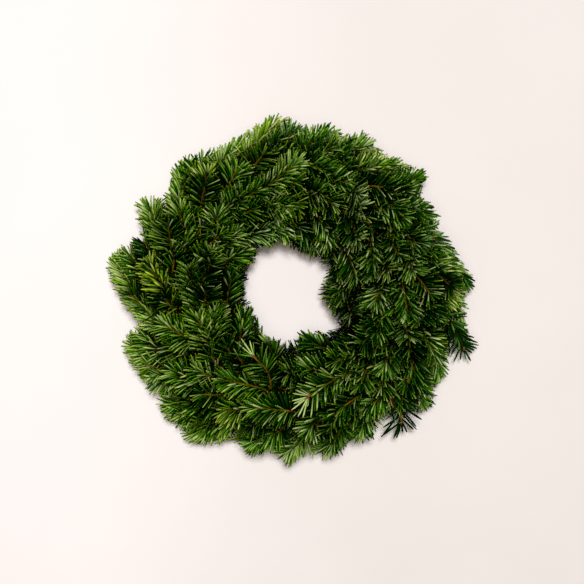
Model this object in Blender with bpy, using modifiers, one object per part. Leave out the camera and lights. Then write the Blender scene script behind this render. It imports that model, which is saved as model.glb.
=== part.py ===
"""Fir advent wreath, lying on its flat underside.

A straw ring carries bunches of fir, four sprays abreast, laid on like roof tiles so that every tip points
clockwise and covers the cut ends of the next bunch. One turn of binding wire crosses the cut ends of each
bunch and passes under the ring in a notch that it has bitten into the straw.
Units are metres and +Z is up. The origin is on the table, in the middle of the wreath.
"Around" is an angle about the wreath's axis, counter-clockwise from +X. "Across" is an angle about the
straw's section: 0 faces outwards, a quarter turn faces up and half a turn faces the hole.
"""

import math
import random
from collections import defaultdict, namedtuple

import bmesh
import bpy
from mathutils import Matrix, Quaternion, Vector

# Straw ring: an ellipse cut off flat where it stands on the table
RING_RADIUS = 0.1275
RING_HALF_WIDTH = 0.0225
RING_HALF_HEIGHT = 0.020
RING_CENTRE_HEIGHT = 0.016
RING_STEPS = 42
SECTION_CORNERS = 10

# Binding wire: one turn a bunch
BUNCHES = 14
FIRST_TURN = math.radians(18)
WIRE_RADIUS = 0.0005
WIRE_GAP = 0.0005
WIRE_HEIGHT_IN_NOTCH = 0.0010
WIRE_BURIED_LENGTH = 0.008
NOTCH_WIDTH = 0.0019
NOTCH_DEPTH = 0.0020

# Fir sprays
STEM_GAP = 0.0003
CUT_END_RADIUS = 0.0016
CORE_RADIUS = 0.0021
TWIG_TIP_RADIUS = 0.0014
HELD_LENGTH = 0.015
SIDE_TWIG_SPREAD = math.radians(46)
NEEDLE_LENGTH = 0.022
NEEDLE_WIDTH = 0.0023
NEEDLE_THICKNESS = 0.0011
NEEDLE_SPACING = 0.0127
NEEDLE_CLEARANCE = 0.0003
NEEDLE_LEAN_AT_FOOT = math.radians(62)
NEEDLE_LEAN_AT_TIP = math.radians(32)
LEADING_NEEDLE_LEAN = math.radians(7)
UNDERSIDE_PARTING = math.radians(125)
TABLE_CLEARANCE = 0.0015
TOP_OF_FOLIAGE = 0.088

# How far the needle tips reach from the axis, clockwise from the +Y side, at even steps around
RIM_REACH = (
    0.195, 0.185, 0.188, 0.193, 0.184, 0.184, 0.198, 0.206, 0.201, 0.203, 0.196, 0.191,
    0.191, 0.188, 0.196, 0.199, 0.192, 0.195, 0.199, 0.205, 0.194, 0.186, 0.185, 0.186,
)
HOLE_REACH = (0.042, 0.041, 0.045, 0.036, 0.040, 0.060, 0.054, 0.059, 0.055, 0.051, 0.053, 0.050)

# Where around the longest twigs end on the rim, in degrees: one for each bunch, counter-clockwise
RIM_TIPS = (340, 2, 38, 60, 90, 118, 147, 170, 200, 222, 240, 267, 290, 314)

Row = namedtuple("Row", "name corner lead tip_out tip_height out_ease up_ease facing side_length")
ROWS = (
    Row("rim", 2, None, None, 0.021, 1.7, 1.0, math.radians(52), 0.048),
    Row("shoulder", 4, math.radians(35), 0.155, 0.056, 1.5, 1.0, math.radians(75), 0.046),
    Row("crown", 5, math.radians(38), 0.112, 0.066, 1.3, 0.9, math.radians(98), 0.042),
    Row("hole", 7, math.radians(40), None, 0.042, 1.2, 1.0, math.radians(125), 0.036),
)

FIR_GREEN = (0.045, 0.110, 0.020, 1)
STRAW_GOLD = (0.55, 0.42, 0.20, 1)
WIRE_GREEN = (0.05, 0.10, 0.06, 1)


def polar(around, out, height):
    return Vector((out * math.cos(around), out * math.sin(around), height))


def reach(table, around):
    """The value of an evenly stepped table of reaches at an angle around."""
    place = (math.pi / 2 - around) / math.tau % 1 * len(table)
    step = int(place) % len(table)
    share = place - int(place)
    return table[step] * (1 - share) + table[(step + 1) % len(table)] * share


# Straw's section

FLAT_EDGE = -math.asin(RING_CENTRE_HEIGHT / RING_HALF_HEIGHT)
SECTION_STEP = (math.pi - 2 * FLAT_EDGE) / (SECTION_CORNERS - 1)


def corner_angle(corner):
    """The angle across of a corner of the section, from the outer edge of the flat to its inner edge."""
    return FLAT_EDGE + corner * SECTION_STEP


def off_straw(around, across, lift):
    """The point at this height off the straw's surface."""
    facing = Vector((math.cos(across) / RING_HALF_WIDTH, math.sin(across) / RING_HALF_HEIGHT)).normalized()
    out = RING_RADIUS + RING_HALF_WIDTH * math.cos(across) + lift * facing.x
    height = RING_CENTRE_HEIGHT + RING_HALF_HEIGHT * math.sin(across) + lift * facing.y
    return polar(around, out, height)


def outside_straw(point, margin):
    """Whether a point is clear of the straw ring and of the table."""
    out = math.hypot(point.x, point.y) - RING_RADIUS
    up = point.z - RING_CENTRE_HEIGHT
    off = math.hypot(out / (RING_HALF_WIDTH + margin), up / (RING_HALF_HEIGHT + margin))
    return off > 1 and point.z > TABLE_CLEARANCE


def turn_angle(turn, across):
    """Where around the ring a turn of wire crosses this place on the section, climbing evenly as a helix."""
    return FIRST_TURN + (turn + (across - FLAT_EDGE) / math.tau) * math.tau / BUNCHES


# Mesh helpers

def new_object(name, data, collection):
    made = bpy.data.objects.new(name, data)
    collection.objects.link(made)
    return made


def tube(name, points, radii, collection):
    """A closed mesh tube through the points, from a curve with a bevel."""
    curve = bpy.data.curves.new(name, "CURVE")
    curve.dimensions = "3D"
    curve.twist_mode = "Z_UP"
    curve.bevel_depth = 1.0
    curve.bevel_resolution = 0
    curve.use_fill_caps = True
    spline = curve.splines.new("POLY")
    spline.points.add(len(points) - 1)
    for knot, point, radius in zip(spline.points, points, radii):
        knot.co = (*point, 1)
        knot.radius = radius
    guide = new_object(name + "_guide", curve, collection)
    bpy.context.view_layer.update()
    mesh = bpy.data.meshes.new_from_object(guide.evaluated_get(bpy.context.evaluated_depsgraph_get()))
    bpy.data.objects.remove(guide)
    shape = bmesh.new()
    shape.from_mesh(mesh)
    bmesh.ops.remove_doubles(shape, verts=shape.verts, dist=1e-5)
    bmesh.ops.recalc_face_normals(shape, faces=shape.faces)
    shape.to_mesh(mesh)
    shape.free()
    return new_object(name, mesh, collection)


def apply_boolean(target, operation, collection, solver):
    """Joins or cuts the whole collection into the target, then removes it."""
    modifier = target.modifiers.new(operation.title(), "BOOLEAN")
    modifier.operation = operation
    modifier.operand_type = "COLLECTION"
    modifier.collection = collection
    modifier.solver = solver
    bpy.context.view_layer.update()
    mesh = bpy.data.meshes.new_from_object(target.evaluated_get(bpy.context.evaluated_depsgraph_get()))
    target.modifiers.remove(modifier)
    target.data = mesh
    for tool in list(collection.objects):
        bpy.data.objects.remove(tool)
    bpy.data.collections.remove(collection)


def finish_with(target, name, colour, roughness):
    """Gives an object its own material."""
    material = bpy.data.materials.new(name)
    material.use_nodes = True
    shader = material.node_tree.nodes["Principled BSDF"]
    shader.inputs["Base Color"].default_value = colour
    shader.inputs["Roughness"].default_value = roughness
    target.data.materials.clear()
    target.data.materials.append(material)


# Binding wire

def wire_points():
    """The wire's line: over the stems of each bunch, tight on the straw between, under through a notch."""
    over_stem = STEM_GAP + 2 * CUT_END_RADIUS + WIRE_GAP + WIRE_RADIUS
    on_surface = WIRE_GAP + WIRE_RADIUS
    crossings = {row.corner for row in ROWS}
    points = []
    for turn in range(BUNCHES):
        for corner in range(SECTION_CORNERS):
            across = corner_angle(corner)
            around = turn_angle(turn, across)
            if corner in (0, SECTION_CORNERS - 1):
                points.append(notch_mouth(around, outer=corner == 0))
            else:
                lift = over_stem if corner in crossings else on_surface
                points.append(off_straw(around, across, lift))
    return points


def notch_mouth(around, outer):
    """Where the wire leaves the notch at one edge of the flat, close to the straw and clear of the table."""
    edge, above = (corner_angle(0), corner_angle(1)) if outer else (corner_angle(9), corner_angle(8))
    low, high = off_straw(0, edge, 0), off_straw(0, above, 0)
    rise = (WIRE_HEIGHT_IN_NOTCH - low.z) / (high.z - low.z)
    clearance = WIRE_GAP + WIRE_RADIUS
    out = low.x + rise * (high.x - low.x) + (clearance if outer else -clearance)
    return polar(around, out, WIRE_HEIGHT_IN_NOTCH)


def buried_end(around, across):
    """Two points of a wire end that is pushed into the straw: at its mouth and at its bottom."""
    return off_straw(around, across, WIRE_GAP + WIRE_RADIUS), off_straw(around, across, -WIRE_BURIED_LENGTH)


def wire_ends():
    """The buried first and last ends of the wire, both low on the outer side."""
    first = buried_end(turn_angle(0, corner_angle(1)), corner_angle(1))
    halfway = (corner_angle(0) + corner_angle(1)) / 2
    last = buried_end(turn_angle(0, halfway) + math.radians(1.5), halfway)
    return first, last


def make_wire(parts):
    first, last = wire_ends()
    line = [first[1], first[0], *wire_points()[2:], notch_mouth(turn_angle(BUNCHES, FLAT_EDGE), outer=True)]
    line += [last[0], last[1]]
    wire = tube("binding_wire", line, [WIRE_RADIUS] * len(line), parts)
    finish_with(wire, "green_wire", WIRE_GREEN, 0.4)
    return line


# Straw ring

def make_ring(parts):
    """A turned ring with a notch under every turn of wire and a hole for each of the wire's ends."""
    profile = bmesh.new()
    corners = [profile.verts.new(off_straw(0, corner_angle(i), 0)) for i in reversed(range(SECTION_CORNERS))]
    for start, end in zip(corners, corners[1:] + corners[:1]):
        profile.edges.new((start, end))
    mesh = bpy.data.meshes.new("straw_ring")
    profile.to_mesh(mesh)
    profile.free()
    ring = new_object("straw_ring", mesh, parts)
    turning = ring.modifiers.new("Turn", "SCREW")
    turning.angle = math.tau
    turning.steps = turning.render_steps = RING_STEPS
    turning.use_merge_vertices = True
    turning.merge_threshold = 1e-5
    bpy.context.view_layer.update()
    turned = ring.evaluated_get(bpy.context.evaluated_depsgraph_get())
    ring.data = bpy.data.meshes.new_from_object(turned)
    ring.modifiers.clear()
    cutters = bpy.data.collections.new("straw_cutters")
    bpy.context.scene.collection.children.link(cutters)
    for turn in range(BUNCHES):
        notch_cutter(turn, cutters)
    for mouth, bottom in wire_ends():
        hole_radius = WIRE_RADIUS + WIRE_GAP
        past = (mouth - bottom).normalized() * WIRE_GAP
        tube("end_hole", [bottom - past, mouth + past], [hole_radius * 1.3] * 2, cutters)
    apply_boolean(ring, "DIFFERENCE", cutters, "EXACT")
    finish_with(ring, "straw", STRAW_GOLD, 0.9)


def notch_cutter(turn, cutters):
    """A bar along the wire's run under the flat, from just past the outer edge to just past the inner one."""
    inner = notch_mouth(turn_angle(turn, corner_angle(SECTION_CORNERS - 1)), outer=False)
    outer = notch_mouth(turn_angle(turn + 1, FLAT_EDGE), outer=True)
    run = outer - inner
    shape = bmesh.new()
    bmesh.ops.create_cube(shape, size=1)
    placed = Matrix.Translation(((inner + outer) / 2).to_2d().to_3d())
    turned = Quaternion((0, 0, 1), math.atan2(run.y, run.x)).to_matrix().to_4x4()
    sized = Matrix.Diagonal((run.length + 2 * NOTCH_WIDTH, NOTCH_WIDTH, 2 * NOTCH_DEPTH, 1))
    bmesh.ops.transform(shape, matrix=placed @ turned @ sized, verts=shape.verts)
    mesh = bpy.data.meshes.new("notch")
    shape.to_mesh(mesh)
    shape.free()
    new_object("notch", mesh, cutters)


# Fir sprays

Twig = namedtuple("Twig", "points radii covered_from")


class Thicket:
    """All that already stands in the wreath, as beads strung along every twig, needle and wire."""

    BEAD_STEP = 0.0013
    CELL = 0.005

    def __init__(self):
        self.cells = defaultdict(list)

    def beads(self, points, radii):
        for start, end, first, last in zip(points, points[1:], radii, radii[1:]):
            count = max(1, math.ceil((end - start).length / self.BEAD_STEP))
            for i in range(count + 1):
                yield start.lerp(end, i / count), first + (last - first) * i / count

    def cell(self, point):
        return tuple(math.floor(value / self.CELL) for value in point)

    def add(self, points, radii, node):
        for bead, radius in self.beads(points, radii):
            self.cells[self.cell(bead)].append((bead, radius, node))

    def is_clear(self, points, radii, node):
        """Whether a line of this thickness keeps its clearance from every other node."""
        steps = (-1, 0, 1)
        for bead, radius in self.beads(points, radii):
            x, y, z = self.cell(bead)
            near = (self.cells.get((x + i, y + j, z + k), ()) for i in steps for j in steps for k in steps)
            for others in near:
                for other, other_radius, owner in others:
                    if owner == node:
                        continue
                    least = radius + other_radius + NEEDLE_CLEARANCE
                    if (other - bead).length_squared < least * least + self.BEAD_STEP ** 2 / 2:
                        return False
        return True


def spray_name(row, turn):
    return f"{row.name}_spray_{turn + 1:02d}"


def facing_up(point, row):
    """The way the upper side of a spray faces: tilted outwards on the rim and towards the hole inside."""
    outwards = Vector((point.x, point.y, 0)).normalized()
    return outwards * math.cos(row.facing) + Vector((0, 0, 1)) * math.sin(row.facing)


def within_reach(point, margin=0.0):
    """Whether a point lies between the hole's edge and the rim's."""
    around = math.atan2(point.y, point.x)
    out = math.hypot(point.x, point.y)
    return reach(HOLE_REACH, around) + margin < out < reach(RIM_REACH, around) - margin


def main_twig(row, turn, chance):
    """The spray's main twig: held along the straw at its cut end, then free and rising to its tip."""
    across = corner_angle(row.corner)
    start = turn_angle(turn, across)
    lift = STEM_GAP + CUT_END_RADIUS
    half_held = HELD_LENGTH / 2 / off_straw(0, across, lift).x
    points = [off_straw(start + half_held, across, lift), off_straw(start - half_held, across, lift)]
    if row.name == "rim":
        lead = (start - half_held - math.radians(RIM_TIPS[turn])) % math.tau
    else:
        lead = row.lead * chance.uniform(0.88, 1.12)
    tip_around = start - half_held - lead
    if row.name == "rim":
        tip_out = reach(RIM_REACH, tip_around) - 0.3 * NEEDLE_LENGTH
    elif row.name == "hole":
        tip_out = reach(HOLE_REACH, tip_around) + 0.45 * NEEDLE_LENGTH
    else:
        tip_out = row.tip_out + chance.uniform(-0.008, 0.008)
    tip_height = row.tip_height + chance.uniform(-0.006, 0.006)
    foot_out, foot_height = math.hypot(points[1].x, points[1].y), points[1].z
    for share in (0.33, 0.67, 1.0):
        out = foot_out + (tip_out - foot_out) * share ** row.out_ease
        height = foot_height + (tip_height - foot_height) * share ** row.up_ease
        points.append(polar(start - half_held - lead * share, out, height))
    radii = [CUT_END_RADIUS, CUT_END_RADIUS, CORE_RADIUS, CORE_RADIUS, TWIG_TIP_RADIUS]
    return Twig(points, radii, 1)


def side_twigs(row, main, node, thicket, chance):
    """A twig to either side of the main one, turned or shortened until it is clear of the other sprays."""
    made = []
    for side, fork, share in ((1, 2, 0.1), (-1, 2, 0.55)):
        foot = main.points[fork].lerp(main.points[fork + 1], share)
        along = (main.points[fork + 1] - main.points[fork]).normalized()
        up = facing_up(foot, row)
        for attempt in range(12):
            spread = side * SIDE_TWIG_SPREAD * chance.uniform(0.75, 1.15)
            length = row.side_length * chance.uniform(0.85, 1.1) * (1 - 0.05 * attempt)
            way = Quaternion(up, spread) @ along + up * chance.uniform(-0.12, 0.2)
            tip = foot + way.normalized() * length
            radii = [CORE_RADIUS * 0.9, TWIG_TIP_RADIUS]
            beyond = tip + way.normalized() * NEEDLE_LENGTH * 0.6
            fits = within_reach(beyond) and outside_straw(tip, 0.004) and tip.z > 0.008
            start = foot.lerp(tip, 0.12)
            if fits and thicket.is_clear([start, tip], radii, node):
                made.append(Twig([foot, tip], radii, 0))
                thicket.add([foot, tip], radii, node)
                break
    return made


def needle_places(twig):
    """(place, direction along the twig, share of the leafy length) at even steps up to the tip."""
    points = twig.points[twig.covered_from:]
    spans = [(end - start).length for start, end in zip(points, points[1:])]
    count = round(sum(spans) / NEEDLE_SPACING)
    for i in range(count):
        share = (i + 0.7) / count
        left = share * sum(spans)
        for start, end, span in zip(points, points[1:], spans):
            if left <= span:
                yield start.lerp(end, left / span), (end - start).normalized(), share
                break
            left -= span


def needle_ranks(along, facing):
    """The sides of a twig that bear needles: square to the faces of its core, except on its underside."""
    upright = (Vector((0, 0, 1)) - along * along.z).normalized()
    sides = [Quaternion(along, math.radians(turn)) @ upright for turn in (45, -135, -45, 135)]
    return [side for side in sides if side.angle(facing) < UNDERSIDE_PARTING]


def grow_needles(row, twig, node, thicket, chance):
    """The needles of one twig, leaning forwards and more so towards the tip, where one leads straight on."""
    needles = []
    nudge = chance.randrange(4)
    for count, (place, along, share) in enumerate(needle_places(twig)):
        facing = facing_up(place, row)
        ranks = needle_ranks(along, (facing - along * facing.dot(along)).normalized())
        rank = ranks[(count + nudge) % len(ranks)]
        lean = NEEDLE_LEAN_AT_FOOT + (NEEDLE_LEAN_AT_TIP - NEEDLE_LEAN_AT_FOOT) * share ** 2
        needles += clear_needle(place, along, rank, lean, node, thicket, chance)
    place = twig.points[-1] - along * 0.002
    needles += clear_needle(place, along, rank, LEADING_NEEDLE_LEAN, node, thicket, chance)
    return needles


def clear_needle(place, along, rank, lean, node, thicket, chance):
    """One needle as (foot, way, length, way of its width), or none where it can't be bent clear."""
    for attempt in range(16):
        bend = 0.12 + 0.06 * attempt
        side = Quaternion(along, chance.uniform(-1, 1) * min(bend, 0.5)) @ rank
        tilt = lean + chance.uniform(-bend, bend)
        way = (along * math.cos(tilt) + side * math.sin(tilt)).normalized()
        length = NEEDLE_LENGTH * chance.uniform(0.85, 1.15) * (1 - 0.015 * attempt)
        tip = place + way * length
        outside = place + way * (CORE_RADIUS + 0.0015)
        inside_bounds = within_reach(tip) and tip.z < TOP_OF_FOLIAGE
        off_the_ring = all(outside_straw(place + way * length * part, 0.0016) for part in (0.3, 0.5, 0.75, 1))
        beads = [outside, tip], [NEEDLE_WIDTH / 2, 0.0]
        if inside_bounds and off_the_ring and thicket.is_clear(*beads, node):
            thicket.add(*beads, node + " needles")
            width_way = (along - way * along.dot(way)).normalized()
            return [(place, way, length, width_way)]
    return []


def needle_mesh(place, way, length, width_way, collection):
    """One three-sided needle, flat and tapered, its foot at the heart of the twig."""
    shape = bmesh.new()
    bmesh.ops.create_cone(
        shape, cap_ends=True, segments=3, radius1=NEEDLE_WIDTH / math.sqrt(3), radius2=0, depth=length
    )
    axes = Matrix((width_way, way.cross(width_way), way)).transposed().to_4x4()
    flat = Matrix.Diagonal((1, NEEDLE_THICKNESS / (NEEDLE_WIDTH * math.sqrt(3) / 2), 1, 1))
    bmesh.ops.transform(
        shape, matrix=Matrix.Translation(place + way * length / 2) @ axes @ flat, verts=shape.verts
    )
    bmesh.ops.recalc_face_normals(shape, faces=shape.faces)
    mesh = bpy.data.meshes.new("needle")
    shape.to_mesh(mesh)
    shape.free()
    new_object("needle", mesh, collection)


def make_sprays(parts, wire_line):
    """Every spray, planned first so that no twig or needle crosses another spray, then joined in one body."""
    thicket = Thicket()
    thicket.add(wire_line, [WIRE_RADIUS] * len(wire_line), "binding_wire")
    plans = {}
    for turn in range(BUNCHES):
        for row in ROWS:
            node = spray_name(row, turn)
            chance = random.Random(node)
            twig = main_twig(row, turn, chance)
            thicket.add(twig.points, twig.radii, node)
            plans[node] = (row, [twig], chance)
    for node, (row, twigs, chance) in plans.items():
        twigs += side_twigs(row, twigs[0], node, thicket, chance)
    for node, (row, twigs, chance) in plans.items():
        needles = [one for twig in twigs for one in grow_needles(row, twig, node, thicket, chance)]
        spray = tube(node, twigs[0].points, twigs[0].radii, parts)
        pieces = bpy.data.collections.new(node + "_pieces")
        bpy.context.scene.collection.children.link(pieces)
        for twig in twigs[1:]:
            tube("side_twig", twig.points, twig.radii, pieces)
        for needle in needles:
            needle_mesh(*needle, pieces)
        apply_boolean(spray, "UNION", pieces, "MANIFOLD")
        finish_with(spray, node + "_green", FIR_GREEN, 0.5)


def main():
    for old in list(bpy.data.objects):
        bpy.data.objects.remove(old)
    parts = bpy.data.collections.new("advent_wreath")
    bpy.context.scene.collection.children.link(parts)
    wire_line = make_wire(parts)
    make_ring(parts)
    make_sprays(parts, wire_line)


main()
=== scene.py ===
# The looks of a fir advent wreath that lies on pale paper and is seen from straight above.
# Units are metres, +Z is up, and the origin is on the paper in the middle of the wreath.
# "Around" is an angle about the wreath's axis, counter-clockwise from +X. "Across" is an angle about the
# straw's section: 0 faces outwards, a quarter turn faces up and half a turn faces the hole.

import math
import random
from collections import namedtuple

import bmesh
import bpy
import numpy as np
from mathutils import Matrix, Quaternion, Vector


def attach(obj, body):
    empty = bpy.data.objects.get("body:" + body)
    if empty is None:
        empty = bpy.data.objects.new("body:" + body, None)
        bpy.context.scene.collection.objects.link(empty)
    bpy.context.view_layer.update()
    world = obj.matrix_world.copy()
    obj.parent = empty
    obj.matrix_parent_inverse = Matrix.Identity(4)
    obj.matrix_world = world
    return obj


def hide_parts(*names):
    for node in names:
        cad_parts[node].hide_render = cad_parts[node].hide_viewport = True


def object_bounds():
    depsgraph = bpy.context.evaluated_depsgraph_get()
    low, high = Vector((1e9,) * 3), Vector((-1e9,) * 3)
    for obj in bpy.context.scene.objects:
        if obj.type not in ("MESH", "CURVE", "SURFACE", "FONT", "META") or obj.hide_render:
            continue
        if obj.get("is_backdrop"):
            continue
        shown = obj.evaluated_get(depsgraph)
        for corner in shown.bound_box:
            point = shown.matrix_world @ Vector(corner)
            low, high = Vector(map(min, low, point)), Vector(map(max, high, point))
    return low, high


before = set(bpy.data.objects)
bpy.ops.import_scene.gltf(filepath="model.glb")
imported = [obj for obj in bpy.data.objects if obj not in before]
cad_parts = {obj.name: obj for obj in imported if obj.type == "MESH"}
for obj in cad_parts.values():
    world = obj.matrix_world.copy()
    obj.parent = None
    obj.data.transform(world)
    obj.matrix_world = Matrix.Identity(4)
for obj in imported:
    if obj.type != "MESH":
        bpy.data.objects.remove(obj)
cad_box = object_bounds()

BODY = "root"
UP = Vector((0, 0, 1))


# The photograph's frame

PHOTO_PIXELS = 584
WREATH_CENTRE_PX = (292, 289.5)

# What a pixel spans at SCALE_HEIGHT, which is about that of the wreath's edges
METRES_PER_PIXEL = 0.00108
SCALE_HEIGHT = 0.03
CAMERA_HEIGHT = 1.38
MIDDLE_PX = PHOTO_PIXELS / 2
CAMERA_X = (MIDDLE_PX - WREATH_CENTRE_PX[0]) * METRES_PER_PIXEL
CAMERA_Y = (WREATH_CENTRE_PX[1] - MIDDLE_PX) * METRES_PER_PIXEL


def from_pixel(pixel, height):
    """The place at this height that the camera sees at a pixel of the photograph."""
    scale = METRES_PER_PIXEL * (CAMERA_HEIGHT - height) / (CAMERA_HEIGHT - SCALE_HEIGHT)
    across, down = pixel
    return Vector((CAMERA_X + (across - MIDDLE_PX) * scale, CAMERA_Y - (down - MIDDLE_PX) * scale, height))


# Layout of the bound sprays, as the solids have it

RING_RADIUS = 0.1275
RING_HALF_WIDTH = 0.0225
RING_HALF_HEIGHT = 0.020
RING_CENTRE_HEIGHT = 0.016
SECTION_CORNERS = 10
BUNCHES = 14
FIRST_TURN = math.radians(18)
WIRE_RADIUS = 0.0005
WIRE_HEIGHT_IN_NOTCH = 0.0010
WIRE_BURIED_LENGTH = 0.008
STEM_GAP = 0.0003
CUT_END_RADIUS = 0.0016
HELD_LENGTH = 0.015
NEEDLE_LENGTH = 0.022
TABLE_CLEARANCE = 0.0008
TOP_OF_FOLIAGE = 0.0880

# How far the needle tips reach from the axis, clockwise from the +Y side, at even steps around
RIM_REACH = (
    0.195, 0.185, 0.188, 0.193, 0.184, 0.184, 0.198, 0.206, 0.201, 0.203, 0.196, 0.191,
    0.191, 0.188, 0.196, 0.199, 0.192, 0.195, 0.199, 0.205, 0.194, 0.186, 0.185, 0.186,
)
HOLE_REACH = (0.042, 0.041, 0.045, 0.036, 0.040, 0.060, 0.054, 0.059, 0.055, 0.051, 0.053, 0.050)

# Where around the longest twigs end on the rim, in degrees: one for each bunch, counter-clockwise
RIM_TIPS = (340, 2, 38, 60, 90, 118, 147, 170, 200, 222, 240, 267, 290, 314)

# How far inside those reaches the twigs end, and how much the tips of the other twigs vary
RIM_TIP_INSET = 0.3 * NEEDLE_LENGTH
HOLE_TIP_INSET = 0.45 * NEEDLE_LENGTH
TIP_PLAY_OUT = 0.008
TIP_PLAY_UP = 0.006

# The sprays of a bunch, side by side across the straw. Forks are shares of the main twig's length
Row = namedtuple("Row", "name corner lead tip_out tip_height out_ease up_ease side_length forks")
ROWS = (
    Row("rim", 2, None, None, 0.021, 1.7, 1.0, 0.050, (0.34, 0.48, 0.62, 0.76)),
    Row("shoulder", 4, math.radians(35), 0.155, 0.056, 1.5, 1.0, 0.048, (0.32, 0.45, 0.62)),
    Row("crown", 5, math.radians(38), 0.112, 0.066, 1.3, 0.9, 0.046, (0.32, 0.45, 0.62)),
    Row("hole", 7, math.radians(40), None, 0.042, 1.2, 1.0, 0.038, (0.34, 0.50, 0.66)),
)


def polar(around, out, height):
    return Vector((out * math.cos(around), out * math.sin(around), height))


def from_axis(point):
    """How far a point is from the wreath's axis."""
    return math.hypot(point.x, point.y)


def reach(table, around):
    """The value of an evenly stepped table of reaches at an angle around."""
    place = (math.pi / 2 - around) / math.tau % 1 * len(table)
    step = int(place) % len(table)
    share = place - int(place)
    return table[step] * (1 - share) + table[(step + 1) % len(table)] * share


FLAT_EDGE = -math.asin(RING_CENTRE_HEIGHT / RING_HALF_HEIGHT)
ROUND_SWEEP = math.pi - 2 * FLAT_EDGE
SECTION_STEP = ROUND_SWEEP / (SECTION_CORNERS - 1)


def corner_angle(corner):
    """The angle across of a corner of the section, from the outer edge of the flat to its inner edge."""
    return FLAT_EDGE + corner * SECTION_STEP


def off_straw(around, across, lift):
    """The point at this height off the straw's surface."""
    facing = Vector((math.cos(across) / RING_HALF_WIDTH, math.sin(across) / RING_HALF_HEIGHT)).normalized()
    out = RING_RADIUS + RING_HALF_WIDTH * math.cos(across) + lift * facing.x
    height = RING_CENTRE_HEIGHT + RING_HALF_HEIGHT * math.sin(across) + lift * facing.y
    return polar(around, out, height)


def outside_straw(point, margin):
    """Whether a point is clear of the straw ring."""
    out = from_axis(point) - RING_RADIUS
    up = point.z - RING_CENTRE_HEIGHT
    return math.hypot(out / (RING_HALF_WIDTH + margin), up / (RING_HALF_HEIGHT + margin)) > 1


def turn_angle(turn, across):
    """Where around the ring a turn of wire crosses this place on the section, climbing evenly as a helix."""
    return FIRST_TURN + (turn + (across - FLAT_EDGE) / math.tau) * math.tau / BUNCHES


# Pixels along the photographed edges, clockwise from the top of the rim and from the top left of the hole

RIM_EDGE_PX = (
    (279, 113), (290, 119), (300, 122), (308, 127), (320, 125), (330, 124), (338, 130), (350, 134),
    (365, 132), (374, 137), (380, 149), (390, 156), (398, 158), (408, 163), (424, 168), (428, 178),
    (422, 187), (420, 195), (426, 201), (437, 209), (441, 224), (450, 242), (459, 257), (466, 271),
    (475, 280), (472, 288), (466, 298), (468, 311), (465, 322), (470, 332), (471, 342), (465, 349),
    (458, 346), (453, 342), (450, 350), (451, 360), (450, 366), (441, 385), (437, 402), (430, 413),
    (421, 413), (412, 411), (406, 419), (400, 424), (394, 416), (388, 421), (382, 424), (377, 431),
    (372, 439), (360, 442), (350, 444), (343, 453), (330, 461), (318, 457), (306, 456),
    (296, 462), (288, 466), (278, 459), (268, 453), (255, 457), (244, 452), (236, 445), (220, 444),
    (200, 446), (190, 443), (180, 432), (168, 421), (160, 413), (157, 399), (146, 389), (139, 376),
    (130, 361), (122, 352), (122, 341), (127, 332), (137, 325), (136, 317), (124, 306), (116, 296),
    (110, 281), (106, 270), (110, 258), (118, 247), (130, 240), (140, 234), (137, 214), (135, 203),
    (141, 199), (152, 196), (162, 195), (169, 183), (170, 170), (178, 160), (192, 155), (208, 149),
    (226, 143), (240, 137), (252, 128), (264, 120),
)
HOLE_EDGE_PX = (
    (258, 250), (264, 247), (272, 250), (279, 244), (290, 250), (300, 254), (308, 260), (316, 261),
    (323, 266), (327, 264), (325, 273), (319, 284), (318, 298), (323, 306), (330, 314), (338, 323),
    (336, 329), (328, 331), (314, 329), (304, 331), (294, 335), (284, 340), (274, 338), (264, 337),
    (261, 327), (255, 315), (253, 308), (253, 298), (248, 288), (246, 282), (248, 274), (251, 268),
    (256, 260),
)


def edge_of(pixels):
    """(angles around, distances from the axis) of an edge, in order of angle."""
    places = [from_pixel(pixel, SCALE_HEIGHT) for pixel in pixels]
    return tuple(zip(*sorted((math.atan2(place.y, place.x), from_axis(place)) for place in places)))


RIM_EDGE = edge_of(RIM_EDGE_PX)
HOLE_EDGE = edge_of(HOLE_EDGE_PX)


def edges_at(point):
    """How far the hole's edge and the rim's are from the axis, at a point's height and on its side."""
    around = math.atan2(point.y, point.x)
    scale = (CAMERA_HEIGHT - point.z) / (CAMERA_HEIGHT - SCALE_HEIGHT)
    return tuple(scale * float(np.interp(around, *edge, period=math.tau)) for edge in (HOLE_EDGE, RIM_EDGE))


def within_reach(point, margin):
    """Whether a point lies between the hole's edge and the rim's."""
    hole, rim = edges_at(point)
    return hole + margin < from_axis(point) < rim - margin


def kept_inside(point, margin):
    """A point moved in or out so that it lies between the two edges."""
    hole, rim = edges_at(point)
    out = from_axis(point)
    share = min(max(out, hole + margin), rim - margin) / out
    return Vector((point.x * share, point.y * share, point.z))


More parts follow.
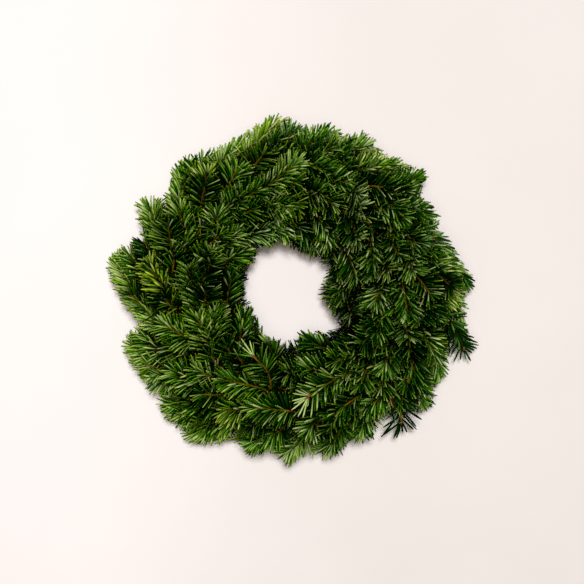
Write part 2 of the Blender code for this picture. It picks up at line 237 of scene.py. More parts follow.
def main_knots(row, turn, chance):
    """The knots of a spray's main twig: held along the straw, then free and rising to its tip."""
    across = corner_angle(row.corner)
    start = turn_angle(turn, across)
    lift = STEM_GAP + CUT_END_RADIUS
    half_held = HELD_LENGTH / 2 / off_straw(0, across, lift).x
    knots = [off_straw(start + half_held, across, lift), off_straw(start - half_held, across, lift)]
    if row.name == "rim":
        lead = (start - half_held - math.radians(RIM_TIPS[turn])) % math.tau
    else:
        lead = row.lead * chance.uniform(0.88, 1.12)
    tip_around = start - half_held - lead
    if row.name == "rim":
        tip_out = reach(RIM_REACH, tip_around) - RIM_TIP_INSET
    elif row.name == "hole":
        tip_out = reach(HOLE_REACH, tip_around) + HOLE_TIP_INSET
    else:
        tip_out = row.tip_out + chance.uniform(-TIP_PLAY_OUT, TIP_PLAY_OUT)
    tip_height = row.tip_height + chance.uniform(-TIP_PLAY_UP, TIP_PLAY_UP)
    foot_out, foot_height = from_axis(knots[1]), knots[1].z
    for share in (0.33, 0.67, 1.0):
        out = foot_out + (tip_out - foot_out) * share ** row.out_ease
        height = foot_height + (tip_height - foot_height) * share ** row.up_ease
        knots.append(polar(start - half_held - lead * share, out, height))
    return knots


# Form of the foliage from the hole's edge to the rim: distances from the axis, and over each the height
# of the topmost twigs and the tilt of the way they face, in degrees up from outwards

FOLIAGE_OUT = (0.045, 0.060, 0.085, 0.112, 0.135, 0.155, 0.175, 0.192, 0.206)
FOLIAGE_HEIGHT = (0.034, 0.048, 0.062, 0.068, 0.067, 0.058, 0.037, 0.018, 0.010)
FOLIAGE_FACING = (130, 122, 106, 97, 88, 78, 70, 64, 60)


def foliage_height(point):
    """The height of the topmost twigs over a place on the paper."""
    return float(np.interp(from_axis(point), FOLIAGE_OUT, FOLIAGE_HEIGHT))


def facing_up(point):
    """The way the foliage faces: tilted outwards on the rim and towards the hole inside."""
    tilt = math.radians(float(np.interp(from_axis(point), FOLIAGE_OUT, FOLIAGE_FACING)))
    outwards = Vector((point.x, point.y, 0)).normalized()
    return outwards * math.cos(tilt) + UP * math.sin(tilt)


# Twigs

TWIG_STEP = 0.0045
TWIG_MARGIN = 0.010

# Radii at foot and tip, the share at the foot without needles, and how much wider the needles are spaced
MAIN_RADII = (CUT_END_RADIUS, 0.0011)
MAIN_BARE_SHARE = 0.2
MAIN_SPACING = 1.9
MAIN_DARKENING = 0.1
SIDE_RADII = (0.0013, 0.0009)
SIDE_BARE_SHARE = 0.06
SIDE_SPACING = 1.35

# A side twig spreads from the main one and curls back by a share of that, and is shorter with each attempt
SIDE_SPREAD = math.radians(47)
SIDE_CURL = 0.35
SIDE_ATTEMPTS = 10
SIDE_SHORTENING = 0.06
SIDE_TONE_PLAY = 0.12
PAST_TIP_SHARE = 0.6
SIDE_EDGE_MARGIN = 0.005
SIDE_STRAW_MARGIN = 0.004
LOWEST_SIDE_TIP = 0.008
HIGHEST_SIDE_TIP = TOP_OF_FOLIAGE - 0.012

# How far past the photographed edges the needles of low twigs and of those on top may reach
LOW_PLAY = (-0.0075, 0.0015)
TOP_PLAY = (-0.004, 0.003)


def smooth_line(knots, step=TWIG_STEP):
    """Points at short steps along a smooth curve through all the knots."""
    before = [knots[0] * 2 - knots[1], *knots[:-1]]
    after = [*knots[1:], knots[-1] * 2 - knots[-2]]
    line = []
    for i in range(len(knots) - 1):
        start, end = knots[i], knots[i + 1]
        leave, arrive = (end - before[i]) / 2, (after[i + 1] - start) / 2
        count = max(2, math.ceil((end - start).length / step))
        for j in range(count):
            t = j / count
            line.append(
                start * (2 * t ** 3 - 3 * t ** 2 + 1) + leave * (t ** 3 - 2 * t ** 2 + t)
                + end * (3 * t ** 2 - 2 * t ** 3) + arrive * (t ** 3 - t ** 2)
            )
    return line + [knots[-1]]


class Twig:
    """A leafy twig along a line, with the colour of its needles."""

    def __init__(self, knots, radii, bare, tint, light, spacing=1.0, play=LOW_PLAY, strands=()):
        self.line = smooth_line(knots)
        self.radii = radii
        self.bare = bare
        self.tint = tint
        self.light = light
        self.spacing = spacing
        self.play = play
        self.strands = strands
        spans = [(end - start).length for start, end in zip(self.line, self.line[1:])]
        self.lengths = np.concatenate(([0.0], np.cumsum(spans)))
        self.length = float(self.lengths[-1])

    def at(self, share):
        """The place and the direction at a share of the length."""
        gone = share * self.length
        span = int(min(max(np.searchsorted(self.lengths, gone) - 1, 0), len(self.line) - 2))
        start, end = self.line[span], self.line[span + 1]
        part = (gone - self.lengths[span]) / (self.lengths[span + 1] - self.lengths[span])
        return start.lerp(end, part), (end - start).normalized()

    def radius(self, share):
        return self.radii[0] + (self.radii[1] - self.radii[0]) * share


# The colourings of twigs, each with the share of the twigs that have it
Colouring = namedtuple("Colouring", "share tint light")
COLOURINGS = (
    Colouring(0.08, 0.22, 0.40),
    Colouring(0.30, 0.46, 0.36),
    Colouring(0.36, 0.55, 0.48),
    Colouring(0.20, 0.66, 0.56),
    Colouring(0.06, 0.80, 0.66),
)


def draw_colouring(chance):
    """A twig's tint, from blue-green to yellow-green, and its lightness."""
    left = chance.random()
    for colouring in COLOURINGS:
        left -= colouring.share
        if left < 0:
            break
    return colouring.tint + chance.uniform(-0.08, 0.08), colouring.light + chance.uniform(-0.1, 0.1)


def main_twig(row, turn, chance):
    knots = [kept_inside(knot, TWIG_MARGIN) for knot in main_knots(row, turn, chance)]
    tint, light = draw_colouring(chance)
    return Twig(knots, MAIN_RADII, MAIN_BARE_SHARE, tint, light - MAIN_DARKENING, MAIN_SPACING)


def is_side_twig_clear(tip, bend):
    """Whether a side twig that ends here, with the needles past its tip, fits the wreath's form."""
    beyond = tip + bend * NEEDLE_LENGTH * PAST_TIP_SHARE
    return (
        within_reach(beyond, SIDE_EDGE_MARGIN) and outside_straw(tip, SIDE_STRAW_MARGIN)
        and LOWEST_SIDE_TIP < tip.z < HIGHEST_SIDE_TIP
    )


def side_twigs(row, main, chance):
    """Twigs to either side of the main one, each turned or shortened until it fits the wreath's form."""
    made = []
    for count, share in enumerate(row.forks):
        side = 1 if count % 2 else -1
        foot, along = main.at(share)
        up = facing_up(foot)
        for attempt in range(SIDE_ATTEMPTS):
            spread = side * SIDE_SPREAD * chance.uniform(0.75, 1.15)
            length = row.side_length * chance.uniform(0.85, 1.15)
            length *= 1.08 - 0.25 * share
            length *= 1 - SIDE_SHORTENING * attempt
            way = (Quaternion(up, spread) @ along + up * chance.uniform(-0.1, 0.2)).normalized()
            bend = Quaternion(up, -SIDE_CURL * spread) @ way
            tip = foot + (way + bend).normalized() * length
            if is_side_twig_clear(tip, bend):
                tint = main.tint + chance.uniform(-SIDE_TONE_PLAY, SIDE_TONE_PLAY)
                light = main.light + chance.uniform(-SIDE_TONE_PLAY, SIDE_TONE_PLAY)
                knots = [foot, foot + way * length * 0.5, tip]
                made.append(Twig(knots, SIDE_RADII, SIDE_BARE_SHARE, tint, light, SIDE_SPACING))
                break
    return made


# Shoots that the photograph shows on top: the pixel where each comes out and the pixel of its bud, its tint
# from blue-green to yellow-green, how light it is, and its habit, which is how far its foot lies below the
# form of the foliage and its bud above it

Habit = namedtuple("Habit", "foot_drop tip_rise")
LYING = Habit(0.006, 0.001)
RISING = Habit(0.012, 0.006)
RAISED = Habit(0.0, 0.007)
ON_TOP = Habit(-0.005, 0.013)

# Where single needles stand out, each has its own foot and tip, and how much lighter and wider it is
Strand = namedtuple("Strand", "foot tip light width", defaults=(0.0, 1.0))

DARK_FAN_BELOW = (
    Strand((402.5, 406), (421.5, 419.5), 0.0, 1.5),
    Strand((404, 405), (415.5, 416), 0.1, 1.3),
    Strand((403, 409), (416, 426.5), 0.0, 1.4),
    Strand((404, 413), (416.5, 429.5), 0.12, 1.1),
    Strand((403, 418), (413.5, 429.5), 0.0, 1.5),
    Strand((402, 419), (407, 432.5), 0.1, 1.2),
    Strand((401, 421), (402.8, 432.5), 0.0, 1.4),
    Strand((400, 419), (396.5, 438), 0.22, 1.6),
    Strand((399, 419), (393.7, 438), 0.15, 1.5),
    Strand((399, 411), (381.5, 436.8), 0.05, 1.4),
    Strand((402, 412), (411, 424), 0.1, 1.3),
    Strand((400, 414), (397, 428), 0.0, 1.4),
    Strand((386.5, 415), (383, 427.5), 0.1, 1.3),
    Strand((376, 424), (383.5, 433.5), 0.15, 1.1),
    Strand((374, 425), (381, 436.5), 0.2, 1.2),
    Strand((400, 400), (390, 415), 0.3),
    Strand((401, 396), (412, 407), 0.5),
    Strand((402, 399), (409, 409), 0.6, 0.8),
    Strand((400, 420), (399, 433), 0.1),
    Strand((402, 420), (404.5, 428), 0.15),
)
DARK_FAN_RIGHT = (
    Strand((460, 331), (474, 337.5), 0.0, 1.3),
    Strand((461, 335), (477.5, 342.5), 0.05, 1.3),
    Strand((462, 338), (478.5, 345.5), 0.5, 1.2),
    Strand((463, 341), (477, 348.5), 0.05, 1.4),
    Strand((463, 343), (474.5, 350.5), 0.1, 1.5),
    Strand((463, 345), (472, 353), 0.1, 1.4),
    Strand((463, 347), (470.8, 361), 0.0, 1.4),
    Strand((462, 347), (466.2, 359.5), 0.4),
    Strand((461, 346), (460.2, 360), 0.2, 1.2),
    Strand((460, 345), (453.9, 361.5), 0.05, 1.2),
    Strand((457, 341), (452.2, 354), 0.05, 1.2),
    Strand((455, 337), (457, 349.5), 0.1, 1.2),
    Strand((455, 329), (464, 342), 0.1, 1.4),
    Strand((457, 333), (463, 352), 0.15, 1.3),
    Strand((458, 334), (470, 340), 0.2, 1.4),
    Strand((456, 332), (458, 347), 0.1, 1.4),
    Strand((453, 331), (456.5, 344), 0.75),
    Strand((459, 338), (461, 347.5), 0.8, 1.1),
    Strand((457, 327), (469.5, 333.5), 0.7),
    Strand((456, 326), (468, 329.5), 0.15),
    Strand((455, 324), (466, 323.5), 0.1),
    Strand((462, 340), (473, 345), 0.15),
)
PALE_STAR = (
    Strand((254, 356.5), (234.5, 341), 0.70, 0.95),
    Strand((254, 356), (241, 338.5), 0.75, 1.2),
    Strand((254.5, 356), (249.5, 340.5), 0.66),
    Strand((253.5, 357), (227.5, 353), 0.40, 0.9),
    Strand((253.5, 356.5), (232.5, 349), 0.20, 0.95),
    Strand((255, 356), (253, 342.5), 0.20, 0.8),
    Strand((256, 358), (262, 353), 0.25, 0.9),
    Strand((255, 359), (259, 366), 0.10, 0.9),
)
PALE_FAN = (
    Strand((309, 396), (292.5, 393.5), 0.50),
    Strand((309, 395), (295.3, 390), 0.60, 1.1),
    Strand((309, 393), (297.6, 387), 0.60, 1.1),
    Strand((308, 389), (299, 384.5), 0.35),
    Strand((309, 386), (304, 381.5), 0.60),
    Strand((307, 397), (292, 401), 0.60, 1.15),
    Strand((307, 398), (293.5, 404), 0.50),
    Strand((307, 398), (291.3, 410.5), 0.65, 1.05),
    Strand((307, 398), (298, 404), 0.30, 1.3),
    Strand((309, 398), (303, 408), 0.50),
    Strand((310.5, 399), (307.5, 407), 0.45),
    Strand((308, 399), (303, 418), 0.55, 1.1),
    Strand((306, 400), (298, 417), 0.68, 1.1),
    Strand((315, 396), (311, 418), 0.50),
    Strand((311, 396), (323, 401.5), 0.15, 1.3),
    Strand((310, 394), (309, 386), 0.45),
    Strand((319, 394), (314, 386), 0.30),
    Strand((325.5, 388), (321, 394.5), 0.40),
    Strand((319, 394), (316.6, 407), 0.05),
)

Shoot = namedtuple("Shoot", "foot tip tint light habit strands", defaults=(LYING, ()))
SHOOTS = (
    # Upper rim and the foliage behind it
    Shoot((248, 154), (277, 120), 0.78, 0.74),
    Shoot((220, 162), (244, 142), 0.62, 0.68),
    Shoot((268, 158), (293, 132), 0.12, 0.45),
    Shoot((262, 189), (297, 163), 0.55, 0.66),
    Shoot((226, 208), (258, 190), 0.50, 0.40),
    Shoot((197, 178), (203, 160), 0.30, 0.30),
    Shoot((203, 202), (208, 173), 0.75, 0.60),
    Shoot((228, 187), (238, 168), 0.50, 0.45),
    Shoot((303, 150), (327, 132), 0.60, 0.46),
    Shoot((350, 151), (371, 144), 0.50, 0.70),
    Shoot((330, 158), (344, 142), 0.40, 0.58),
    Shoot((318, 168), (342, 158), 0.45, 0.33),
    Shoot((300, 190), (320, 193), 0.72, 0.48, RISING),
    Shoot((318, 178), (346, 182), 0.50, 0.45),
    Shoot((342, 186), (357, 195), 0.30, 0.66, RISING),
    Shoot((350, 172), (378, 166), 0.78, 0.66),
    Shoot((374, 170), (398, 162), 0.70, 0.68),
    Shoot((394, 187), (415, 178), 0.50, 0.42),
    Shoot((384, 192), (408, 190), 0.50, 0.35),
    Shoot((402, 205), (421, 200), 0.20, 0.42),
    Shoot((266, 206), (288, 208), 0.60, 0.68),
    Shoot((302, 163), (325, 170), 0.45, 0.31),
    # Right side
    Shoot((410, 206), (430, 217), 0.35, 0.38),
    Shoot((376, 207), (403, 217), 0.55, 0.38),
    Shoot((426, 231), (444, 250), 0.12, 0.48),
    Shoot((390, 237), (399, 257), 0.50, 0.40, RISING),
    Shoot((402, 250), (413, 271), 0.65, 0.60, RISING),
    Shoot((430, 258), (450, 276), 0.55, 0.50),
    Shoot((447, 252), (465, 281), 0.50, 0.40),
    Shoot((438, 272), (445, 304), 0.82, 0.76),
    Shoot((398, 238), (420, 243), 0.18, 0.46),
    Shoot((403, 286), (408, 314), 0.55, 0.48),
    Shoot((405, 317), (407, 335), 0.55, 0.56, RISING),
    Shoot((419, 328), (433, 351), 0.72, 0.54),
    Shoot((432, 348), (440, 371), 0.60, 0.50),
    Shoot((413, 360), (416, 384), 0.45, 0.40),
    Shoot((449, 318), (463, 348), 0.22, 0.14, RAISED, DARK_FAN_RIGHT),
    Shoot((449, 296), (463, 313), 0.50, 0.72),
    Shoot((427, 304), (434, 319), 0.40, 0.30),
    Shoot((371, 243), (373, 272), 0.30, 0.65),
    Shoot((346, 250), (356, 278), 0.50, 0.50),
    Shoot((380, 286), (374, 303), 0.50, 0.62),
    Shoot((380, 258), (389, 270), 0.80, 0.62, RISING),
    Shoot((344, 228), (357, 239), 0.60, 0.86, RISING),
    Shoot((316, 217), (332, 231), 0.62, 0.45),
    Shoot((293, 224), (311, 241), 0.12, 0.50),
    Shoot((320, 226), (328, 241), 0.62, 0.65),
    Shoot((342, 284), (328, 303), 0.45, 0.70),
    Shoot((385, 311), (376, 335), 0.65, 0.30),
    Shoot((392, 346), (384, 368), 0.55, 0.44),
    Shoot((360, 342), (345, 350), 0.60, 0.24),
    Shoot((345, 200), (360, 208), 0.50, 0.75, RISING),
    Shoot((345, 296), (351, 313), 0.50, 0.50, RISING),
    # Lower side
    Shoot((334, 380), (308, 397), 0.55, 0.50, ON_TOP, PALE_FAN),
    Shoot((344, 370), (323, 391), 0.50, 0.43),
    Shoot((336, 373), (303, 368), 0.52, 0.48),
    Shoot((330, 350), (308, 341), 0.50, 0.40),
    Shoot((368, 368), (361, 385), 0.75, 0.40),
    Shoot((349, 401), (331, 418), 0.65, 0.42),
    Shoot((320, 415), (310, 429), 0.50, 0.65),
    Shoot((341, 429), (326, 453), 0.45, 0.45),
    Shoot((389, 389), (367, 408), 0.65, 0.41),
    Shoot((367, 412), (362, 431), 0.40, 0.30),
    Shoot((403, 386), (401, 422), 0.20, 0.08, RAISED, DARK_FAN_BELOW),
    Shoot((415, 371), (420, 401), 0.50, 0.42),
    Shoot((306, 373), (288, 373), 0.60, 0.56, RISING),
    Shoot((290, 411), (252, 408), 0.45, 0.34),
    Shoot((245, 408), (224, 411), 0.80, 0.62),
    Shoot((216, 406), (193, 404), 0.55, 0.45),
    Shoot((232, 420), (200, 430), 0.65, 0.65),
    Shoot((279, 431), (252, 443), 0.40, 0.35),
    Shoot((303, 440), (287, 453), 0.60, 0.60, RISING),
    Shoot((263, 389), (224, 380), 0.62, 0.46),
    Shoot((216, 379), (196, 370), 0.58, 0.62),
    Shoot((268, 373), (254, 357), 0.30, 0.40, ON_TOP, PALE_STAR),
    Shoot((187, 402), (171, 405), 0.50, 0.40),
    Shoot((198, 412), (178, 414), 0.52, 0.45),
    Shoot((208, 431), (193, 433), 0.60, 0.50),
    Shoot((264, 346), (257, 328), 0.50, 0.60),
    Shoot((276, 360), (268, 345), 0.35, 0.50),
    Shoot((240, 340), (245, 318), 0.45, 0.50),
    # Left side
    Shoot((208, 346), (198, 318), 0.70, 0.55),
    Shoot((214, 345), (213, 316), 0.55, 0.50),
    Shoot((157, 325), (135, 299), 0.65, 0.76),
    Shoot((162, 352), (143, 335), 0.60, 0.64),
    Shoot((152, 357), (133, 345), 0.55, 0.64),
    Shoot((160, 369), (140, 362), 0.55, 0.60),
    Shoot((172, 378), (150, 377), 0.60, 0.55),
    Shoot((187, 338), (164, 325), 0.60, 0.54),
    Shoot((200, 383), (172, 371), 0.50, 0.50),
    Shoot((172, 301), (150, 266), 0.85, 0.76),
    Shoot((136, 293), (117, 264), 0.70, 0.68),
    Shoot((146, 276), (124, 249), 0.50, 0.52),
    Shoot((156, 264), (145, 242), 0.12, 0.12),
    Shoot((163, 237), (148, 205), 0.60, 0.62),
    Shoot((185, 248), (180, 208), 0.65, 0.48),
    Shoot((192, 296), (190, 268), 0.55, 0.55, RISING),
    Shoot((179, 206), (186, 167), 0.50, 0.46),
    Shoot((208, 270), (212, 252), 0.50, 0.62),
    Shoot((216, 232), (218, 213), 0.45, 0.52),
    Shoot((226, 211), (238, 197), 0.50, 0.50),
    Shoot((238, 238), (277, 228), 0.18, 0.65),
    Shoot((221, 247), (235, 234), 0.40, 0.58),
    Shoot((227, 302), (232, 274), 0.55, 0.48),
    Shoot((222, 264), (245, 250), 0.65, 0.56),
    Shoot((260, 222), (282, 216), 0.50, 0.40),
    Shoot((274, 220), (283, 234), 0.65, 0.60),
    Shoot((200, 314), (197, 288), 0.50, 0.50),
    Shoot((172, 252), (166, 228), 0.60, 0.55),
)

# A shoot forks from a main twig, behind its foot and below it, past the points where the twig is held
SHOOT_REACH_BACK = 0.016
SHOOT_REACH_DOWN = 0.012
LOWEST_FORK = 0.014
WIDEST_FORK = math.radians(60)
FORK_TURN_COST = 0.03
HELD_POINTS = 3

LOWEST_SHOOT = 0.009
MIDDLING_HEIGHT = 0.05
HIDDEN_BARE_SHARE = 0.45
MIDDLING_LIGHT = 0.5
SHOOT_CONTRAST = 1.4


def on_foliage(pixel, lift):
    """The place that the camera sees at a pixel, this far above the form of the foliage."""
    rough = from_pixel(pixel, MIDDLING_HEIGHT)
    return from_pixel(pixel, max(foliage_height(rough) + lift, LOWEST_SHOOT))


def carrier_of(foot, tip, mains):
    """The main twig that a shoot forks from, and where: close under its foot, and not turning back."""
    way = (tip - foot).normalized()
    wanted = foot - way * SHOOT_REACH_BACK
    wanted.z = max(wanted.z - SHOOT_REACH_DOWN, LOWEST_FORK)

    def awkwardness(fork):
        turned = (foot - fork[1]).angle(way, 0.0)
        return (fork[1] - wanted).length + max(0.0, turned - WIDEST_FORK) * FORK_TURN_COST

    forks = [(node, point) for node, main in mains.items() for point in main.line[HELD_POINTS:-1]]
    return min(forks, key=awkwardness)


def shoot_twig(shoot, mains):
    """(node, twig) of a shoot that the photograph shows."""
    foot = on_foliage(shoot.foot, -shoot.habit.foot_drop)
    tip = on_foliage(shoot.tip, shoot.habit.tip_rise)
    node, fork = carrier_of(foot, tip, mains)
    hidden = (foot - fork).length
    bare = HIDDEN_BARE_SHARE * hidden / (hidden + (tip - foot).length)
    light = MIDDLING_LIGHT + (shoot.light - MIDDLING_LIGHT) * SHOOT_CONTRAST
    twig = Twig([fork, foot, tip], SIDE_RADII, bare, shoot.tint, light, play=TOP_PLAY, strands=shoot.strands)
    return node, twig


# Needles

# Yellow-green needles are wider than blue-green ones
NEEDLE_WIDTH = 0.00175
TINT_WIDENING = 0.00050
NEEDLE_THICKNESS = 0.0010

# A needle stands at this share of its twig's radius, and leans in and is shorter with each attempt
NEEDLE_SINK = 0.6
NEEDLE_ATTEMPTS = 5
NEEDLE_FOLDING = 0.88
NEEDLE_SHORTENING = 0.94

# The needles around a bud, and how far to either side of its upper side they stand
WHORL_NEEDLES = 9
WHORL_ROLL = math.radians(114)

# All needles vary in light, some are bright, and a few are dry and tan
LIGHT_SPREAD = 0.24
BRIGHT_SHARE = 0.13
BRIGHT_GAIN = 0.46
DRY_SHARE = 0.001
DRY_TINT = -1.0

# The direction on the paper from which the lamp shines; the half of each needle turned towards it gets
# painted light
LAMP_SIDE = Vector((0.16, 0.99, 0))

# Near the rim the low needles stand thinner, and all of them get painted light, for the light that the paper
# throws back
THINNED_WIDTH = 0.014
THINNED_SHARE = 0.5
PAINTED_RIM_LIGHT = 0.14
PAINTED_RIM_LIGHT_WIDTH = 0.030

# Needles read one by one off the photograph. The twig has rows of others up to COMBED_SHARE of its length
STRAND_WIDTH = 0.0016
STRAND_RISE = 0.004
STRAND_DROOP = 0.005
STRAND_ARCH = 0.02
STRAND_GROWN = 0.5
STRAND_FEET = np.linspace(0.3, 1.0, 90)
COMBED_SHARE = 0.8

# A needle has to be clear of the straw at these shares of its length, by this margin
CLEAR_SHARES = (0.35, 0.6, 0.8, 1)
NEEDLE_STRAW_MARGIN = 0.0012

# The rows in which needles stand on either side of a twig: angle from its upper side, distance from needle
# to needle, lean off the twig and length
NeedleRow = namedtuple("NeedleRow", "roll step lean length")
NEEDLE_ROWS = (
    NeedleRow(math.radians(84), 0.0029, math.radians(65), 1.00),
    NeedleRow(math.radians(56), 0.0042, math.radians(57), 0.90),
    NeedleRow(math.radians(28), 0.0076, math.radians(46), 0.76),
    NeedleRow(math.radians(108), 0.0047, math.radians(62), 0.95),
)

Needle = namedtuple("Needle", "foot way width_way face length width bend tone")
Stand = namedtuple("Stand", "share grown roll lean length")


def square_to(way, up):
    """The direction nearest to up that is square to a way."""
    return (up - way * up.dot(way)).normalized()


def needle_stands(twig, chance):
    """Where and how each needle stands on a twig: in combed rows, with a whorl about the bud."""
    leafy = 1 - twig.bare
    for row in NEEDLE_ROWS:
        count = round(twig.length * leafy / row.step / twig.spacing)
        for side in (-1, 1):
            for i in range(count):
                grown = (i + 0.5 + 0.25 * side + chance.uniform(-0.22, 0.22)) / count
                roll = side * row.roll + math.radians(chance.uniform(-8, 8))
                lean = row.lean * (1 - 0.36 * grown ** 3) * chance.uniform(0.90, 1.08)
                yield Stand(twig.bare + leafy * grown * 0.985, grown, roll, lean, row.length)
    for i in range(WHORL_NEEDLES):
        roll = ((i + chance.random()) / WHORL_NEEDLES * 2 - 1) * WHORL_ROLL
        lean = math.radians(chance.uniform(16, 54))
        yield Stand(chance.uniform(0.95, 0.995), 1.0, roll, lean, 0.9)


def fits(foot, way, length, play):
    """Whether a needle keeps inside the wreath's form and out of the straw."""
    tip = foot + way * length
    if not within_reach(tip, -play) or tip.z > TOP_OF_FOLIAGE:
        return False
    return all(outside_straw(foot + way * length * part, NEEDLE_STRAW_MARGIN) for part in CLEAR_SHARES)


def laid_on_paper(foot, way, length):
    """A needle's direction, raised where its tip would pass under the paper."""
    if foot.z + way.z * length > TABLE_CLEARANCE:
        return way
    rise = (TABLE_CLEARANCE - foot.z) / length
    level = Vector((way.x, way.y, 0)).normalized() * math.sqrt(max(0.0, 1 - rise * rise))
    return level + UP * rise


def lit_half(width_way):
    """1 where the half of a needle towards its width's direction is turned to the lamp, and otherwise 0; the
    needle finish paints that half lighter.
    """
    return float(width_way.dot(LAMP_SIDE) > 0)


def traced_needles(twig):
    """The needles that the photograph shows one by one, each from the nearest place on its twig."""
    places = [twig.at(share)[0] for share in STRAND_FEET]
    needles = []
    for strand in twig.strands:
        foot = min(places, key=lambda place: (from_pixel(strand.foot, place.z) - place).length)
        height = foliage_height(from_pixel(strand.tip, foot.z)) + STRAND_RISE
        height = min(max(height, foot.z - STRAND_DROOP), foot.z + STRAND_DROOP)
        way = from_pixel(strand.tip, height) - foot
        length = way.length
        way.normalize()
        face = square_to(way, UP)
        side = way.cross(face)
        tone = (twig.tint, twig.light + strand.light, STRAND_GROWN, lit_half(side))
        width = STRAND_WIDTH * strand.width
        needles.append(Needle(foot, way, side, face, length, width, face * STRAND_ARCH, tone))
    return needles


def grow_needles(twig, chance):
    """All the needles of a twig, each folded in towards it until it fits, or left out."""
    needles = traced_needles(twig)
    for stand in needle_stands(twig, chance):
        if twig.strands and stand.grown > COMBED_SHARE:
            continue
        place, along = twig.at(min(stand.share, 1.0))
        up = square_to(along, facing_up(place))
        length = NEEDLE_LENGTH * stand.length * chance.uniform(0.88, 1.08)
        length *= 1 - 0.2 * stand.grown ** 6 - 0.2 * (1 - stand.grown) ** 6
        roll, lean = stand.roll, stand.lean
        play = chance.uniform(*twig.play)
        for attempt in range(NEEDLE_ATTEMPTS):
            outward = Quaternion(along, roll) @ up
            foot = place + outward * twig.radius(stand.share) * NEEDLE_SINK
            way = (along * math.cos(lean) + outward * math.sin(lean)).normalized()
            way = laid_on_paper(foot, way, length)
            if fits(foot, way, length, play):
                if twig.play == TOP_PLAY or not is_thinned(foot + way * length, chance):
                    needles.append(make_needle(twig, foot, way, along, up, length, stand.grown, chance))
                break
            roll *= chance.uniform(0.6, 0.95)
            lean *= NEEDLE_FOLDING
            length *= NEEDLE_SHORTENING
    return needles


def is_thinned(tip, chance):
    """Whether a low needle is left out, so that the paper shows between those that end near the rim."""
    rim = edges_at(tip)[1]
    return rim - from_axis(tip) < THINNED_WIDTH and chance.random() < THINNED_SHARE


def painted_rim_light(point):
    """How much painted light is added to needles near the rim, for the paper's light shining through them,
    most on the left.
    """
    rim = edges_at(point)[1]
    near = min(max(1 - (rim - from_axis(point)) / PAINTED_RIM_LIGHT_WIDTH, 0.0), 1.0)
    leftness = 0.5 - 0.5 * point.x / rim
    return PAINTED_RIM_LIGHT * near * (0.35 + 0.85 * leftness)


def make_needle(twig, foot, way, along, up, length, grown, chance):
    """A needle with its grooved face turned up, arched and twisted a little."""
    face = Quaternion(way, chance.uniform(-0.5, 0.5)) @ square_to(way, up)
    side = way.cross(face)
    bend = face * chance.uniform(0.0, 0.10) + along * chance.uniform(-0.02, 0.08)
    # Painted light near the rim is added to the needle's lightness
    light = twig.light + painted_rim_light(foot + way * length * 0.6) + chance.gauss(0, LIGHT_SPREAD)
    if chance.random() < BRIGHT_SHARE:
        light += BRIGHT_GAIN
    tint = DRY_TINT if chance.random() < DRY_SHARE else twig.tint + chance.uniform(-0.08, 0.08)
    width = (NEEDLE_WIDTH + TINT_WIDENING * twig.tint) * chance.uniform(0.86, 1.10)
    return Needle(foot, way, side, face, length, width, bend, (tint, light, grown, lit_half(side)))


def gather(needles, *parts):
    """An array of each named part of the needles."""
    return [np.array([getattr(needle, part) for needle in needles]) for part in parts]


def read(items, name, size=1, kind=float):
    """A property of every item of a mesh, in a row, or in rows of this size."""
    values = np.zeros(len(items) * size, kind)
    items.foreach_get(name, values)
    return values if size == 1 else values.reshape(-1, size)


class Canopy:
    """How high the topmost foliage stands over each spot of the paper, for painting shade on what lies under
    it.
    """

    CELL = 0.001
    HALF_WIDTH = 0.25
    SPREAD_CELLS = 2
    SMOOTHINGS = 2
    NEEDLE_SPOTS = 25
    CLEAR_DEPTH = 0.0008
    DARK_DEPTH = 0.009
    LIT_RIM_WIDTH = 0.028
    LIT_RIM_SHARE = 0.97

    def __init__(self, needles):
        count = round(2 * self.HALF_WIDTH / self.CELL)
        self.heights = np.zeros((count, count))
        feet, ways, bends, lengths = gather(needles, "foot", "way", "bend", "length")
        for part in np.linspace(0, 1, self.NEEDLE_SPOTS):
            spots = feet + lengths[:, None] * (ways * part + bends * part ** 2)
            np.maximum.at(self.heights, self.cells(spots), spots[:, 2])
        self.spread(np.maximum)
        for turn in range(self.SMOOTHINGS):
            self.spread(np.add)
            self.heights /= (2 * self.SPREAD_CELLS + 1) ** 2

    def cells(self, spots):
        """The row and column of the cell under each spot."""
        places = np.floor((spots[:, :2] + self.HALF_WIDTH) / self.CELL).astype(int)
        return tuple(np.clip(places, 0, len(self.heights) - 1).T)

    def spread(self, combine):
        """Combines each cell with those close to it."""
        steps = range(-self.SPREAD_CELLS, self.SPREAD_CELLS + 1)
        for axis in (0, 1):
            self.heights = combine.reduce([np.roll(self.heights, step, axis) for step in steps])

    def shade(self, piece, sides=1.0):
        """Gives a piece's points an attribute of painted shade: 0 on top of the foliage and 1 deep under it.

        The paper throws light back under the rim, so the attribute is less there. Where a piece faces
        sideways or down it has only the given share.
        """
        mesh = piece.data
        spots = read(mesh.vertices, "co", 3)
        depth = self.heights[self.cells(spots)] - spots[:, 2]
        share = np.clip((depth - self.CLEAR_DEPTH) / (self.DARK_DEPTH - self.CLEAR_DEPTH), 0, 1)
        rim = np.interp(np.arctan2(spots[:, 1], spots[:, 0]), *RIM_EDGE, period=math.tau)
        from_rim = np.clip((rim - np.hypot(spots[:, 0], spots[:, 1])) / self.LIT_RIM_WIDTH, 0, 1)
        share *= 1 - self.LIT_RIM_SHARE * (1 - from_rim)
        facing = read(mesh.vertex_normals, "vector", 3)
        share *= sides + (1 - sides) * np.clip(facing[:, 2], 0, 1)
        shade = mesh.attributes.new("shade", "FLOAT", "POINT")
        shade.data.foreach_set("value", share.astype(np.float32))


# Models of what repeats

# How close to its end a face of a needle counts as the end's, and how far apart two points are still one
CLOSE = 1e-4
DOUBLES_APART = 1e-5


def deselect_all():
    bpy.ops.object.select_all(action="DESELECT")


